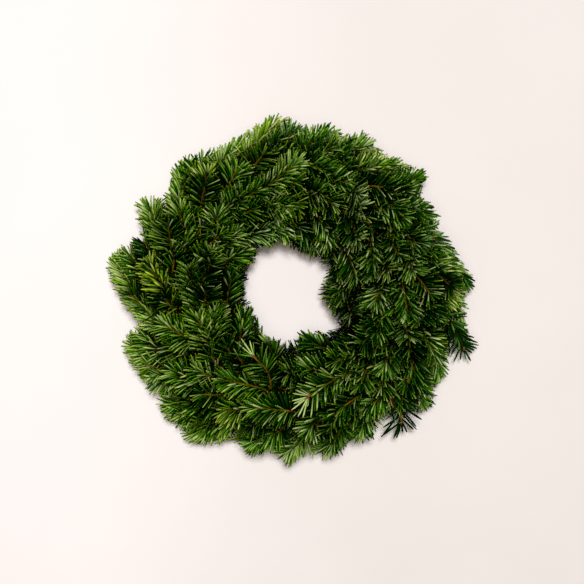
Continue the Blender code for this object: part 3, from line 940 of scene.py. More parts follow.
def pick(piece, kind, is_chosen):
    """In edit mode, selects only those vertices, edges or faces that the test chooses."""
    bpy.context.tool_settings.mesh_select_mode = (kind == "verts", kind == "edges", kind == "faces")
    shape = bmesh.from_edit_mesh(piece.data)
    for part in [*shape.faces, *shape.edges, *shape.verts]:
        part.select_set(False)
    for part in getattr(shape, kind):
        if is_chosen(part):
            part.select_set(True)
    shape.select_flush_mode()
    bmesh.update_edit_mesh(piece.data)


def edit_new():
    """The piece just added, its place applied and its mesh open for editing."""
    piece = bpy.context.object
    bpy.ops.object.transform_apply(location=True, rotation=True, scale=True)
    bpy.ops.object.mode_set(mode="EDIT")
    return piece


def edit_rod(corners, length):
    """A new rod along +Y from the origin, open for editing."""
    deselect_all()
    bpy.ops.mesh.primitive_cylinder_add(
        vertices=corners, radius=0.5, depth=length, location=(0, length / 2, 0), rotation=(math.pi / 2, 0, 0)
    )
    return edit_new()


Model = namedtuple("Model", "places corners starts uv")


def as_model(piece, is_blade=False):
    """A finished piece's mesh as arrays, with its own UV map, and the piece removed.

    A blade's map has its upper side in the left half and its under side in the right one.
    """
    mesh = piece.data
    places = read(mesh.vertices, "co", 3)
    corners = read(mesh.loops, "vertex_index", kind=int)
    starts = read(mesh.polygons, "loop_start", kind=int)
    uv = np.zeros((len(corners), 2))
    for face in mesh.polygons:
        for corner in face.loop_indices:
            place = places[corners[corner]]
            if not is_blade:
                uv[corner] = (math.atan2(place[0], place[2]) / math.tau + 0.5, place[1])
            elif face.normal.z > 0:
                uv[corner] = ((place[0] + 0.5) / 2, place[1])
            else:
                uv[corner] = (0.5 + (0.5 - place[0]) / 2, place[1])
    bpy.data.objects.remove(piece)
    return Model(places, corners, starts, uv)


# A needle's sections after its foot: share of the length, width and thickness
NEEDLE_FOOT = (0.035, 0.42, 1.0)
NEEDLE_SECTIONS = ((0.20, 0.88, 0.9), (0.80, 1.0, 0.9), (1.0, 0.50, 0.4))
LOW_NEEDLE_SECTIONS = ((0.40, 1.0, 1.0), (1.0, 0.62, 0.5))
GROOVE_DROP = 0.60
RIDGE_DROP = 0.35
TIP_NOTCH = 0.025


def needle_model(sections, corners, drop):
    """A needle one unit long along +Y: a blade with a notched tip.

    With four corners it has a groove above and a keel below, with three a low ridge and a flat underside.
    """
    length, width, thickness = NEEDLE_FOOT
    piece = edit_rod(corners, length)
    pick(piece, "faces", lambda face: True)
    bpy.ops.transform.resize(value=(width, 1, thickness), center_override=(0, 0, 0))
    end, last_width, last_thickness = length, width, thickness
    for share, width, thickness in sections:
        pick(piece, "faces", lambda face: min(vert.co.y for vert in face.verts) > end - CLOSE)
        bpy.ops.mesh.extrude_region_move(TRANSFORM_OT_translate={"value": (0, share - end, 0)})
        bpy.ops.transform.resize(
            value=(width / last_width, 1, thickness / last_thickness), center_override=(0, share, 0)
        )
        end, last_width, last_thickness = share, width, thickness
    pick(piece, "verts", lambda vert: vert.co.z > 0.01 and vert.co.y > length)
    bpy.ops.transform.translate(value=(0, 0, -drop))
    pick(piece, "verts", lambda vert: abs(vert.co.x) < 0.01 and vert.co.y > 0.99)
    bpy.ops.transform.translate(value=(0, -TIP_NOTCH, 0))
    bpy.ops.object.mode_set(mode="OBJECT")
    return as_model(piece, is_blade=True)


def bud_model():
    """A pointed bud one unit long along +Y."""
    deselect_all()
    bpy.ops.mesh.primitive_uv_sphere_add(
        segments=6, ring_count=4, radius=0.5, location=(0, 0.5, 0), rotation=(-math.pi / 2, 0, 0)
    )
    piece = edit_new()
    pick(piece, "verts", lambda vert: 0.7 < vert.co.y < 0.98)
    bpy.ops.transform.resize(value=(0.8, 1, 0.8), center_override=(0, 0.5, 0))
    pick(piece, "verts", lambda vert: vert.co.y > 0.98)
    bpy.ops.transform.translate(value=(0, 0.12, 0))
    pick(piece, "verts", lambda vert: 0.02 < vert.co.y < 0.25)
    bpy.ops.transform.resize(value=(1.15, 1, 1.15), center_override=(0, 0.5, 0))
    bpy.ops.object.mode_set(mode="OBJECT")
    return as_model(piece)


STRAW_CORNERS = 6
STRAW_CUTS = 12


def straw_model():
    """One straw a unit long along +Y, with enough rings to bend."""
    piece = edit_rod(STRAW_CORNERS, 1)
    pick(piece, "edges", lambda edge: abs(edge.verts[0].co.y - edge.verts[1].co.y) > 0.5)
    bpy.ops.mesh.subdivide(number_cuts=STRAW_CUTS)
    bpy.ops.object.mode_set(mode="OBJECT")
    return as_model(piece)


def mesh_of_copies(name, model, places, tones=None):
    """One mesh of copies of a model, given the places of every copy's vertices."""
    copies = len(places)
    per_copy = len(model.places)
    mesh = bpy.data.meshes.new(name)
    mesh.vertices.add(copies * per_copy)
    mesh.vertices.foreach_set("co", places.astype(np.float32).ravel())
    offsets = np.arange(copies)[:, None]
    corners = (model.corners[None, :] + offsets * per_copy).ravel()
    mesh.loops.add(len(corners))
    mesh.loops.foreach_set("vertex_index", corners.astype(np.int32))
    starts = (model.starts[None, :] + offsets * len(model.corners)).ravel()
    mesh.polygons.add(len(starts))
    mesh.polygons.foreach_set("loop_start", starts.astype(np.int32))
    mesh.update(calc_edges=True)
    grain = mesh.uv_layers.new(name="grain")
    grain.data.foreach_set("uv", np.tile(model.uv, (copies, 1)).astype(np.float32).ravel())
    if tones is not None:
        tone = mesh.attributes.new("tone", "FLOAT_COLOR", "POINT")
        tone.data.foreach_set("color", np.repeat(tones, per_copy, axis=0).astype(np.float32).ravel())
    mesh.polygons.foreach_set("use_smooth", np.ones(len(starts), bool))
    mesh.validate()
    return mesh


# The lowest that a point of a needle may lie over the paper
LOWEST_POINT = 0.0003


def plant(name, model, needles, thickness):
    """Copies of a model set on their feet, each stretched, arched and turned its own way."""
    feet, ways, width_ways, faces, bends = (
        rows[:, None, :] for rows in gather(needles, "foot", "way", "width_way", "face", "bend")
    )
    lengths, widths = (row[:, None, None] for row in gather(needles, "length", "width"))
    x, y, z = (model.places[None, :, axis, None] for axis in range(3))
    places = feet + ways * lengths * y + width_ways * widths * x + faces * thickness * z
    places = places + bends * lengths * y ** 2
    places[..., 2] = np.maximum(places[..., 2], LOWEST_POINT)
    return mesh_of_copies(name, model, places, *gather(needles, "tone"))


# Shader maths

class Value:
    """A socket of a material. Sums with it add Math nodes to that material."""

    def __init__(self, tree, socket):
        self.tree = tree
        self.socket = socket

    def node(self, kind, settings, inputs, output=0):
        """Any other node, from its settings and the values or links of its sockets."""
        made = self.tree.nodes.new(kind)
        for key, setting in settings.items():
            if key == "stops":
                for stop, (position, painted) in zip(stops_of(made, len(setting)), setting):
                    stop.position = position
                    stop.color = colour(*painted)
            else:
                setattr(made, key, setting)
        for key, given in inputs.items():
            if isinstance(given, Value):
                self.tree.links.new(given.socket, made.inputs[key])
            else:
                made.inputs[key].default_value = given
        return Value(self.tree, made.outputs[output])

    def maths(self, operation, *terms):
        return self.node("ShaderNodeMath", {"operation": operation}, dict(enumerate(terms)))

    def __add__(self, other):
        return self.maths("ADD", self, other)

    def __sub__(self, other):
        return self.maths("SUBTRACT", self, other)

    def __rsub__(self, other):
        return self.maths("SUBTRACT", other, self)

    def __mul__(self, other):
        return self.maths("MULTIPLY", self, other)

    def __abs__(self):
        return self.maths("ABSOLUTE", self)

    __radd__ = __add__
    __rmul__ = __mul__

    def between(self, low, high):
        """0 below low and 1 above high, with a soft step where high is more than low."""
        inputs = {"Value": self, "From Min": low, "From Max": high}
        return self.node("ShaderNodeMapRange", {"interpolation_type": "SMOOTHSTEP"}, inputs)

    def part(self, axis):
        """One of the three numbers of a vector or a colour."""
        return self.node("ShaderNodeSeparateXYZ", {}, {0: self}, axis)

    def blend(self, other, factor):
        """This colour, passing over to another one or to a painter's colour."""
        other = other if isinstance(other, Value) else colour(*other)
        return self.node("ShaderNodeMix", {"data_type": "RGBA"}, {0: factor, 6: self, 7: other}, 2)

    def saturated(self, amount):
        """This colour, stronger where the amount is more than 1."""
        return self.node("ShaderNodeHueSaturation", {}, {"Color": self, "Saturation": amount})

    def ramp(self, *stops):
        """A painter's colours at these stops, passing into each other."""
        return self.node("ShaderNodeValToRGB", {"stops": stops}, {"Fac": self})


def stops_of(ramp, count):
    """The stops of a colour ramp, made as many as are wanted."""
    while len(ramp.color_ramp.elements) < count:
        ramp.color_ramp.elements.new(1.0)
    return ramp.color_ramp.elements


def colour(red, green, blue):
    """A colour as a painter names it on screen, 0 to 255, made linear."""
    def linear(level):
        level /= 255
        return level / 12.92 if level <= 0.04045 else ((level + 0.055) / 1.055) ** 2.4
    return (linear(red), linear(green), linear(blue), 1)


class Finish:
    """A new material, with what its surface is reckoned from."""

    def __init__(self, name, **constants):
        self.material = bpy.data.materials.new(name)
        self.material.use_nodes = True
        tree = self.material.node_tree
        self.shader = tree.nodes["Principled BSDF"]
        self.start = Value(tree, None)
        self.place = self.start.node("ShaderNodeTexCoord", {}, {}, "Object")
        for socket, value in constants.items():
            self.shader.inputs[socket.replace("_", " ")].default_value = value

    def grain(self):
        """The piece's own UV map."""
        return self.start.node("ShaderNodeUVMap", {"uv_map": "grain"}, {})

    def stretched(self, vector, scale):
        return self.start.node("ShaderNodeMapping", {}, {"Vector": vector, "Scale": scale})

    def attribute(self, name, output):
        return self.start.node("ShaderNodeAttribute", {"attribute_name": name}, {}, output)

    def noise(self, scale, detail=2.0, vector=None):
        inputs = {"Vector": vector or self.place, "Scale": scale, "Detail": detail}
        return self.start.node("ShaderNodeTexNoise", {}, inputs)

    def feed(self, socket, value):
        self.start.tree.links.new(value.socket, self.shader.inputs[socket])

    def paint(self, surface, deep, share=1.0):
        """Feeds the surface's colour, passing over to a dark painted shade deep under the foliage."""
        self.feed("Base Color", surface.blend(deep, self.attribute("shade", "Fac") * share))

    def bump(self, height, strength, distance):
        inputs = {"Height": height, "Strength": strength, "Distance": distance}
        self.feed("Normal", self.start.node("ShaderNodeBump", {}, inputs))


# Finishes

# Colours of painted shade, which the finishes pass over to deep under the foliage
PAINTED_SHADE_GREEN = (0, 13, 0)
PAINTED_SHADE_BROWN = (20, 14, 0)
PAINTED_SHADE_STRAW = (26, 20, 8)

# Places across a needle on its own map: the seam at its edge, and the middles of the sides next to it
SEAM = 0.5
UPPER_MIDDLE = 0.25
UNDER_MIDDLE = 0.75


def fir_finish():
    """Needles: grooved and green above, with two pale bands below, a pale foot and a painted highlight on
    the tip.
    """
    finish = Finish("fir needles", Specular_IOR_Level=0.02, Coat_Roughness=0.22)
    tone = finish.attribute("tone", "Color")
    tint, light, grown = (tone.part(axis) for axis in range(3))
    grain = finish.grain()
    over, along = grain.part(0), grain.part(1)
    mottle = finish.noise(900.0)

    # Painted light: the half of each needle turned to the lamp is lighter, with a painted glint near its lit
    # margin
    lit_side = finish.attribute("tone", "Alpha")
    turned = 1 - abs(lit_side - over * 2)
    painted_glint = turned.between(0.62, 0.86)
    # The level rises along each needle to its tip, painted shade at its foot, and on the lit half and its
    # painted glint
    level = light + grown * 0.12 + along * 0.14 + mottle * 0.3 + turned * 0.24 + painted_glint * 0.34 - 0.466
    blue_green = level.ramp(
        (0.0, (0, 20, 0)), (0.25, (4, 47, 2)), (0.5, (38, 90, 22)), (0.75, (96, 144, 66)),
        (1.0, (176, 208, 148))
    )
    plain_green = level.ramp(
        (0.0, (0, 24, 0)), (0.25, (3, 58, 0)), (0.5, (38, 110, 0)), (0.7, (91, 153, 4)),
        (0.85, (142, 186, 40)), (1.0, (196, 219, 146))
    )
    yellow_green = level.ramp(
        (0.0, (2, 29, 0)), (0.25, (22, 71, 0)), (0.5, (79, 133, 0)), (0.75, (150, 188, 4)),
        (1.0, (214, 230, 96))
    )
    green = blue_green.blend(plain_green, tint.between(0.05, 0.36))
    green = green.blend(yellow_green, tint.between(0.62, 1.05))

    # Painted shade in the groove of the upper side, and a painted highlight along its edges
    off_groove = abs(over - UPPER_MIDDLE)
    groove = 1 - off_groove.between(0.0, 0.055)
    green = green.blend((10, 30, 4), groove * 0.5)
    edge = 1 - (UPPER_MIDDLE - off_groove).between(0.0, 0.05)
    below = over.between(SEAM - 0.001, SEAM + 0.001)
    green = green.blend((116, 166, 16), edge * (1 - below) * 0.25)

    bands = 1 - abs(abs(over - UNDER_MIDDLE) - 0.12).between(0.045, 0.065)
    rows = finish.noise(1.0, vector=finish.stretched(grain, (60, 90, 1)))
    under = green.blend((70, 116, 30), 0.2)
    under = under.blend((150, 182, 124), bands * rows.between(0.25, 0.6) * 0.25)
    green = green.blend(under, below)

    green = green.blend((130, 146, 36), (1 - along.between(0.0, 0.09)) * 0.35)
    # A painted highlight on the tip of each needle, more on lighter needles
    green = green.blend((196, 202, 84), along.between(0.91, 0.985) * level.between(-0.1, 0.5) * 0.5)
    # Painted sheen: needles greener on the left, paler and less saturated towards the right
    green = green.saturated(1.16 - finish.place.part(0).between(-0.20, 0.14) * 0.15)
    tan = along.ramp((0.0, (150, 96, 44)), (0.7, (196, 140, 78)), (1.0, (120, 70, 34)))
    # Painted shade: darker deep under the foliage
    finish.paint(green.blend(tan, 1 - tint.between(-0.6, -0.4)), PAINTED_SHADE_GREEN)
    finish.feed("Roughness", 0.42 + mottle * 0.16)

    open_to_light = 1 - finish.attribute("shade", "Fac")
    waxed = light.between(0.6, 1.05) * open_to_light * (1 - tint.between(0.58, 0.74))
    finish.feed("Coat Weight", waxed * painted_glint * 0.22)
    ridges = finish.noise(1.0, vector=finish.stretched(grain, (40, 3, 1)))
    finish.bump(ridges, 0.25, 0.0003)
    return finish.material


def bark_finish():
    """Young fir bark: brown, greyer in patches, with small dark scars."""
    finish = Finish("fir bark", Roughness=0.75, Specular_IOR_Level=0.04)
    patches = finish.noise(60.0, 3.0)
    brown = patches.ramp((0.3, (120, 88, 0)), (0.5, (152, 106, 4)), (0.7, (118, 90, 12)))
    scar_places = {"Vector": finish.place, "Scale": 620.0}
    scars = finish.start.node("ShaderNodeTexVoronoi", {}, scar_places, "Distance")
    brown = brown.blend((70, 44, 4), (1 - scars.between(0.15, 0.4)) * 0.6)
    # Painted shade: darker deep under the foliage
    finish.paint(brown, PAINTED_SHADE_BROWN, 0.8)
    finish.bump(scars + patches, 0.5, 0.0006)
    return finish.material


def bud_finish():
    """Buds with overlapping light brown scales and a little resin."""
    finish = Finish("fir buds", Roughness=0.4, Coat_Weight=0.2, Coat_Roughness=0.25)
    grain = finish.grain()
    steps = grain.part(1) * 5 + grain.part(0) * 2
    scales = steps - steps.maths("FLOOR", steps)
    brown = scales.ramp((0.0, (72, 48, 18)), (0.7, (112, 78, 34)), (1.0, (150, 116, 62)))
    # Painted shade: darker deep under the foliage
    finish.paint(brown, PAINTED_SHADE_BROWN)
    finish.bump(scales, 0.6, 0.0004)
    return finish.material


def straw_finish():
    """Dry straw, each stalk with its own fibres, yellow to grey-brown."""
    finish = Finish("straw", Coat_Weight=0.1, Coat_Roughness=0.4)
    fibres = finish.noise(1.0, 4.0, finish.stretched(finish.grain(), (14, 1.5, 1)))
    patches = finish.noise(45.0, 3.0)
    gold = patches.ramp((0.3, (150, 118, 66)), (0.5, (196, 164, 98)), (0.7, (216, 190, 128)))
    gold = gold.blend((120, 88, 46), fibres.between(0.5, 0.75) * 0.6)
    # Painted shade: darker deep under the foliage
    finish.paint(gold, PAINTED_SHADE_STRAW)
    finish.feed("Roughness", 0.5 + fibres * 0.25)
    finish.bump(fibres, 0.4, 0.0004)
    return finish.material


def thread_finish():
    """Twisted natural thread."""
    finish = Finish("thread", Roughness=0.9)
    twist = finish.noise(1500.0)
    # Painted shade: darker deep under the foliage
    finish.paint(twist.ramp((0.35, (110, 84, 52)), (0.65, (170, 138, 92))), PAINTED_SHADE_STRAW)
    finish.bump(twist, 0.5, 0.0003)
    return finish.material


def wire_finish():
    """Green lacquered wire, dulled, with worn places."""
    finish = Finish("green wire", Coat_Weight=0.3, Coat_Roughness=0.15)
    wear = finish.noise(240.0, 4.0)
    worn = wear.between(0.62, 0.7)
    green = wear.ramp((0.3, (22, 58, 34)), (0.6, (36, 84, 48)))
    # Painted shade: darker deep under the foliage
    finish.paint(green.blend((120, 122, 116), worn * 0.7), PAINTED_SHADE_GREEN)
    finish.feed("Metallic", worn * 0.8)
    finish.feed("Roughness", 0.32 + wear * 0.2)
    finish.bump(wear, 0.15, 0.0002)
    return finish.material


def paper_finish():
    """Warm white paper with the faintest mottling, a little darker towards the right: a painted fall-off of
    the light.
    """
    finish = Finish("paper", Roughness=0.85)
    mottle = finish.noise(6.0, 3.0)
    left = mottle.ramp((0.3, (246, 241, 241)), (0.7, (249, 244, 244)))
    right = mottle.ramp((0.3, (231, 225, 223)), (0.7, (234, 228, 226)))
    finish.feed("Base Color", left.blend(right, finish.place.part(0).between(-0.30, 0.12)))
    finish.bump(finish.noise(400.0), 0.05, 0.0002)
    return finish.material


# Pieces

def new_piece(name, data):
    piece = bpy.data.objects.new(name, data)
    bpy.context.scene.collection.objects.link(piece)
    return piece


def curve_tubes(name, lines, radii, roundness=1):
    """One mesh of round tubes with closed ends, one along each line."""
    curve = bpy.data.curves.new(name, "CURVE")
    curve.dimensions = "3D"
    curve.bevel_depth = 1.0
    curve.bevel_resolution = roundness
    curve.use_fill_caps = True
    for line, ends in zip(lines, radii):
        spline = curve.splines.new("POLY")
        spline.points.add(len(line) - 1)
        for i, (knot, point) in enumerate(zip(spline.points, line)):
            knot.co = (*point, 1)
            knot.radius = ends[0] + (ends[1] - ends[0]) * i / (len(line) - 1)
    piece = new_piece(name, curve)
    deselect_all()
    piece.select_set(True)
    bpy.context.view_layer.objects.active = piece
    bpy.ops.object.convert(target="MESH")
    piece = bpy.context.object
    bpy.ops.object.mode_set(mode="EDIT")
    bpy.ops.mesh.select_all(action="SELECT")
    bpy.ops.mesh.remove_doubles(threshold=DOUBLES_APART)
    bpy.ops.mesh.normals_make_consistent(inside=False)
    bpy.ops.object.mode_set(mode="OBJECT")
    piece.data.shade_smooth()
    return piece


def coat(piece, material):
    piece.data.materials.clear()
    piece.data.materials.append(material)
    return piece


def joined(pieces):
    """The first piece, with the others joined into its mesh."""
    deselect_all()
    for piece in pieces:
        piece.select_set(True)
    bpy.context.view_layer.objects.active = pieces[0]
    bpy.ops.object.join()
    return pieces[0]


BUD_LENGTH = 0.0048
BUD_WIDTH = 0.0026
BUD_SINK = 0.0008

# How far each bud of a twig turns from it, and its size
BUDS = ((0.0, 1.0), (0.75, 0.75), (-0.75, 0.75))
NO_BEND = Vector((0, 0, 0))
NO_TONE = (0, 0, 0, 0)


def buds_of(twig, chance):
    """A bud at the twig's tip and a smaller one at either side of it."""
    tip, along = twig.at(1.0)
    up = square_to(along, facing_up(tip))
    foot = tip - along * BUD_SINK
    buds = []
    for turn, size in BUDS:
        way = Quaternion(up, turn * chance.uniform(0.8, 1.2)) @ along
        length = BUD_LENGTH * size * chance.uniform(0.9, 1.1)
        buds.append(Needle(foot, way, way.cross(up), up, length, BUD_WIDTH * size, NO_BEND, NO_TONE))
    return buds


def make_spray(node, twigs, needles, chance, models, finishes, canopy):
    """One spray: its twigs, their buds and all their needles, in the place of its solid."""
    parts = []
    for kind, chosen in needles.items():
        if chosen:
            leaves = new_piece(kind, plant(kind, models[kind], chosen, NEEDLE_THICKNESS))
            parts.append(coat(leaves, finishes["fir"]))
    wood = curve_tubes("twigs", [twig.line for twig in twigs], [twig.radii for twig in twigs])
    parts.append(coat(wood, finishes["bark"]))
    buds = [bud for twig in twigs for bud in buds_of(twig, chance)]
    parts.append(coat(new_piece("buds", plant("buds", models["bud"], buds, BUD_WIDTH)), finishes["bud"]))
    spray = joined(parts)
    spray.name = node.replace("spray", "fir")
    canopy.shade(spray)
    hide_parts(node)
    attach(spray, BODY)


# Straw ring and binding wire

STRAW_WIDTH = 0.0042
STRAW_THICKNESS = 0.0013
STRAW_LENGTH = 0.092
STRAW_SINK = 0.0007

# Rows of straws over the round of the section and under its flat, and how far a straw slants across each
ROUND_ROWS = 27
FLAT_ROWS = 7
STRAWS_AROUND = 11
ROW_STAGGER = 0.37
ROUND_SLANT = 0.09
FLAT_SLANT = 0.06
FLAT_MARGIN_SHARES = (0.06, 0.94)

CORE_DEPTH = 0.0015
CORE_FLAT_HEIGHT = 0.0022
PINCH_DEPTH = 0.0012
PINCH_WIDTH = 0.007
FLAT_STRAW_RISE = 0.0012
FLAT_STRAW_HEIGHT = STRAW_THICKNESS * 0.55
SHADE_OF_SIDES = 0.3

# Each turn of the thread goes over the round for a share of its steps and under the flat for the rest
THREAD_RADIUS = 0.0004
THREAD_LIFT = THREAD_RADIUS * 0.2
LOWEST_THREAD = THREAD_RADIUS * 1.2
THREAD_TURNS = 46
THREAD_STEPS = 24
THREAD_ROUND_SHARE = 0.8
THREAD_FLAT_SHARE = 0.2

WIRE_LIFT = 0.0006
WIRE_STEP = 0.003
WIRE_ROUNDNESS = 2
WIRE_END_TURN = math.radians(1.5)


def flat_across(share):
    """The angle across of a place on the flat, from its inner edge to its outer one."""
    inner = corner_angle(SECTION_CORNERS - 1)
    return inner + share * (FLAT_EDGE + math.tau - inner)


def flat_place(around, share, height):
    """A place over the flat, from its inner edge to its outer one."""
    half_width = RING_HALF_WIDTH * math.cos(FLAT_EDGE)
    return polar(around, RING_RADIUS - half_width + 2 * half_width * share, height)


def wire_pinch(around, across):
    """1 under a turn of the wire, falling to 0 away from it."""
    turns = (around - turn_angle(0, across)) / (math.tau / BUNCHES)
    away = abs(turns - round(turns)) * math.tau / BUNCHES * RING_RADIUS
    return math.exp(-(away / PINCH_WIDTH) ** 2)


def lay_straw(model, start, across, slant, lift, on_flat):
    """The places of one straw's points, bent along the ring and pinched under the wire."""
    places = []
    for x, y, z in model.places:
        around = start + y * STRAW_LENGTH / RING_RADIUS
        if on_flat:
            share = float(np.clip(across + slant * (y - 0.5), *FLAT_MARGIN_SHARES))
            pinch = wire_pinch(around, flat_across(share))
            height = FLAT_STRAW_HEIGHT - lift + FLAT_STRAW_RISE * pinch
            middle = flat_place(around, share, height)
            normal = -UP
        else:
            angle = across + slant * (y - 0.5)
            sunk = lift - STRAW_THICKNESS / 2 - PINCH_DEPTH * wire_pinch(around, angle)
            middle = off_straw(around, angle, sunk)
            normal = (off_straw(around, angle, 0.01) - off_straw(around, angle, 0)).normalized()
        aside = normal.cross(polar(around + math.pi / 2, 1, 0))
        places.append(middle + aside * x * STRAW_WIDTH + normal * z * STRAW_THICKNESS)
    return places


def make_straws(finish):
    """The ring's bundle of straws, lying along it in overlapping rows."""
    model = straw_model()
    chance = random.Random("straws")
    laid = []
    for row in range(ROUND_ROWS + FLAT_ROWS):
        on_flat = row >= ROUND_ROWS
        if on_flat:
            across, slant = (row - ROUND_ROWS + 0.5) / FLAT_ROWS, FLAT_SLANT
        else:
            across, slant = FLAT_EDGE + ROUND_SWEEP * (row + 0.5) / ROUND_ROWS, ROUND_SLANT
        for i in range(STRAWS_AROUND):
            start = (i + row * ROW_STAGGER + chance.uniform(-0.2, 0.2)) * math.tau / STRAWS_AROUND
            lift = -chance.uniform(0.0, STRAW_SINK)
            laid.append(lay_straw(model, start, across, chance.uniform(-slant, slant), lift, on_flat))
    return coat(new_piece("straws", mesh_of_copies("straws", model, np.array(laid))), finish)


def make_core(finish):
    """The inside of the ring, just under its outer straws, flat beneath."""
    deselect_all()
    bpy.ops.mesh.primitive_torus_add(
        major_radius=RING_RADIUS, minor_radius=RING_HALF_WIDTH - CORE_DEPTH,
        major_segments=72, minor_segments=20, location=(0, 0, RING_CENTRE_HEIGHT)
    )
    core = edit_new()
    pick(core, "faces", lambda face: True)
    squeeze = (RING_HALF_HEIGHT - CORE_DEPTH) / (RING_HALF_WIDTH - CORE_DEPTH)
    bpy.ops.transform.resize(value=(1, 1, squeeze), center_override=(0, 0, RING_CENTRE_HEIGHT))
    bpy.ops.mesh.bisect(
        plane_co=(0, 0, CORE_FLAT_HEIGHT), plane_no=(0, 0, 1), use_fill=False, clear_inner=True
    )
    bpy.ops.mesh.bridge_edge_loops()
    bpy.ops.mesh.select_all(action="SELECT")
    bpy.ops.mesh.normals_make_consistent(inside=False)
    bpy.ops.object.mode_set(mode="OBJECT")
    core.data.shade_smooth()
    return coat(core, finish)


def thread_line():
    """The thread that holds the straws together, wound the other way from the wire."""
    line = []
    for step in range(THREAD_TURNS * THREAD_STEPS + 1):
        around = -step / THREAD_STEPS * math.tau / THREAD_TURNS
        part = step % THREAD_STEPS / THREAD_STEPS
        if part < THREAD_ROUND_SHARE:
            across = FLAT_EDGE + ROUND_SWEEP * part / THREAD_ROUND_SHARE
            place = off_straw(around, across, THREAD_LIFT)
        else:
            place = flat_place(around, (part - THREAD_ROUND_SHARE) / THREAD_FLAT_SHARE, 0)
        place.z = max(place.z, LOWEST_THREAD)
        line.append(place)
    return line


def make_ring(finishes, canopy):
    thread = curve_tubes("thread", [thread_line()], [(THREAD_RADIUS, THREAD_RADIUS)])
    coat(thread, finishes["thread"])
    ring = joined([make_straws(finishes["straw"]), make_core(finishes["straw"]), thread])
    ring.name = "pressed_straw"
    canopy.shade(ring, SHADE_OF_SIDES)
    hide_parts("straw_ring")
    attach(ring, BODY)


def notch_mouth(around, outer):
    """Where the wire leaves the notch at one edge of the flat, close to the straw and clear of the table."""
    edge, above = (0, 1) if outer else (SECTION_CORNERS - 1, SECTION_CORNERS - 2)
    low, high = off_straw(0, corner_angle(edge), 0), off_straw(0, corner_angle(above), 0)
    rise = (WIRE_HEIGHT_IN_NOTCH - low.z) / (high.z - low.z)
    out = low.x + rise * (high.x - low.x) + (WIRE_LIFT if outer else -WIRE_LIFT)
    return polar(around, out, WIRE_HEIGHT_IN_NOTCH)


def wire_line():
    """The wire between its buried ends, over the stems of each bunch and tight on the straw between."""
    over_stem = STEM_GAP + 2 * CUT_END_RADIUS + WIRE_RADIUS
    crossings = {row.corner for row in ROWS}
    knots = []
    for turn in range(BUNCHES):
        for corner in range(SECTION_CORNERS):
            across = corner_angle(corner)
            around = turn_angle(turn, across)
            if corner in (0, SECTION_CORNERS - 1):
                knots.append(notch_mouth(around, outer=corner == 0))
            else:
                knots.append(off_straw(around, across, over_stem if corner in crossings else WIRE_LIFT))
    first_across = corner_angle(1)
    first = turn_angle(0, first_across)
    last_across = (corner_angle(0) + corner_angle(1)) / 2
    last = turn_angle(0, last_across) + WIRE_END_TURN
    return [
        off_straw(first, first_across, -WIRE_BURIED_LENGTH), off_straw(first, first_across, WIRE_LIFT),
        *knots[2:], notch_mouth(turn_angle(BUNCHES, FLAT_EDGE), outer=True),
        off_straw(last, last_across, WIRE_LIFT), off_straw(last, last_across, -WIRE_BURIED_LENGTH)
    ]


def make_wire(finishes, canopy):
    line = smooth_line(wire_line(), WIRE_STEP)
    for place in line:
        place.z = max(place.z, WIRE_HEIGHT_IN_NOTCH)
    wire = curve_tubes("green_wire", [line], [(WIRE_RADIUS, WIRE_RADIUS)], WIRE_ROUNDNESS)
    coat(wire, finishes["wire"])
    canopy.shade(wire, SHADE_OF_SIDES)
    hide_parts("binding_wire")
    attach(wire, BODY)


# Camera, light and paper

KEY_PLACE = (0.085, 0.54, 3.2)
KEY_SIZE = 0.58
KEY_POWER = 84
KEY_COLOUR = (1.0, 1.0, 1.0)
FILL_PLACE = (-0.1, 0.0, 2.2)
FILL_SIZE = 1.1
FILL_POWER = 14.5
FILL_COLOUR = (1.0, 0.90, 0.80)
SKY_STRENGTH = 0.08
SKY_COLOUR = (1.0, 0.86, 0.72, 1)
PAPER_SIZE = 6.0


def make_camera():
    deselect_all()
    bpy.ops.object.camera_add(location=(CAMERA_X, CAMERA_Y, CAMERA_HEIGHT), rotation=(0, 0, 0))
    camera = bpy.context.object
    half_width = MIDDLE_PX * METRES_PER_PIXEL
    camera.data.angle = 2 * math.atan(half_width / (CAMERA_HEIGHT - SCALE_HEIGHT))
    bpy.context.scene.camera = camera


def hang_lamp(place, size, power, tint):
    """A round soft lamp that shines on the wreath's middle."""
    bpy.ops.object.light_add(type="AREA", location=place)
    lamp = bpy.context.object
    lamp.data.shape = "DISK"
    lamp.data.size = size
    lamp.data.energy = power
    lamp.data.color = tint
    lamp.rotation_euler = (-Vector(place)).to_track_quat("-Z", "Y").to_euler()


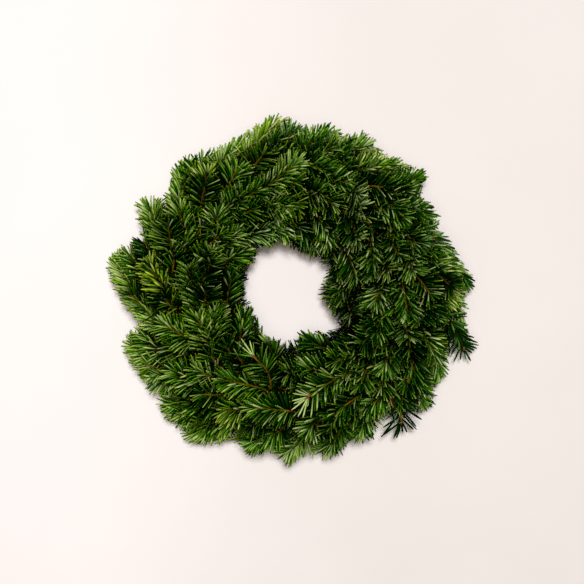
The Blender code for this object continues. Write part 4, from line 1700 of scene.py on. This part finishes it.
def make_light():
    hang_lamp(KEY_PLACE, KEY_SIZE, KEY_POWER, KEY_COLOUR)
    hang_lamp(FILL_PLACE, FILL_SIZE, FILL_POWER, FILL_COLOUR)
    world = bpy.data.worlds.new("studio")
    world.use_nodes = True
    sky = world.node_tree.nodes["Background"]
    sky.inputs["Color"].default_value = SKY_COLOUR
    sky.inputs["Strength"].default_value = SKY_STRENGTH
    bpy.context.scene.world = world
    bpy.context.scene.view_settings.view_transform = "Standard"


def make_paper():
    bpy.ops.mesh.primitive_plane_add(size=PAPER_SIZE, location=(0, 0, 0))
    paper = coat(bpy.context.object, paper_finish())
    paper.name = "paper"
    paper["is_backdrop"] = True


def grow_sprays():
    """Every spray's seeded chance and its twigs: the main one, its side twigs and the shoots seen on top."""
    chances, mains, rows = {}, {}, {}
    for turn in range(BUNCHES):
        for row in ROWS:
            node = f"{row.name}_spray_{turn + 1:02d}"
            chances[node], rows[node] = random.Random(node), row
            mains[node] = main_twig(row, turn, chances[node])
    low = {node: [main, *side_twigs(rows[node], main, chances[node])] for node, main in mains.items()}
    top = {node: [] for node in mains}
    for shoot in SHOOTS:
        node, twig = shoot_twig(shoot, mains)
        top[node].append(twig)
    return chances, low, top


def make_wreath():
    models = {
        "needles": needle_model(NEEDLE_SECTIONS, 4, GROOVE_DROP),
        "low_needles": needle_model(LOW_NEEDLE_SECTIONS, 3, RIDGE_DROP),
        "bud": bud_model()
    }
    finishes = {
        "fir": fir_finish(), "bark": bark_finish(), "bud": bud_finish(), "straw": straw_finish(),
        "thread": thread_finish(), "wire": wire_finish()
    }
    chances, low, top = grow_sprays()
    needles = {}
    for node, chance in chances.items():
        needles[node] = {
            kind: [needle for twig in twigs[node] for needle in grow_needles(twig, chance)]
            for kind, twigs in (("needles", top), ("low_needles", low))
        }
    every = [needle for kinds in needles.values() for chosen in kinds.values() for needle in chosen]
    canopy = Canopy(every)
    for node, chance in chances.items():
        make_spray(node, low[node] + top[node], needles[node], chance, models, finishes, canopy)
    make_ring(finishes, canopy)
    make_wire(finishes, canopy)


make_camera()
make_light()
make_paper()
make_wreath()

boxes = {"cad": cad_box, "visual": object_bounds()}
{name: [list(corner) for corner in box] for name, box in boxes.items()}
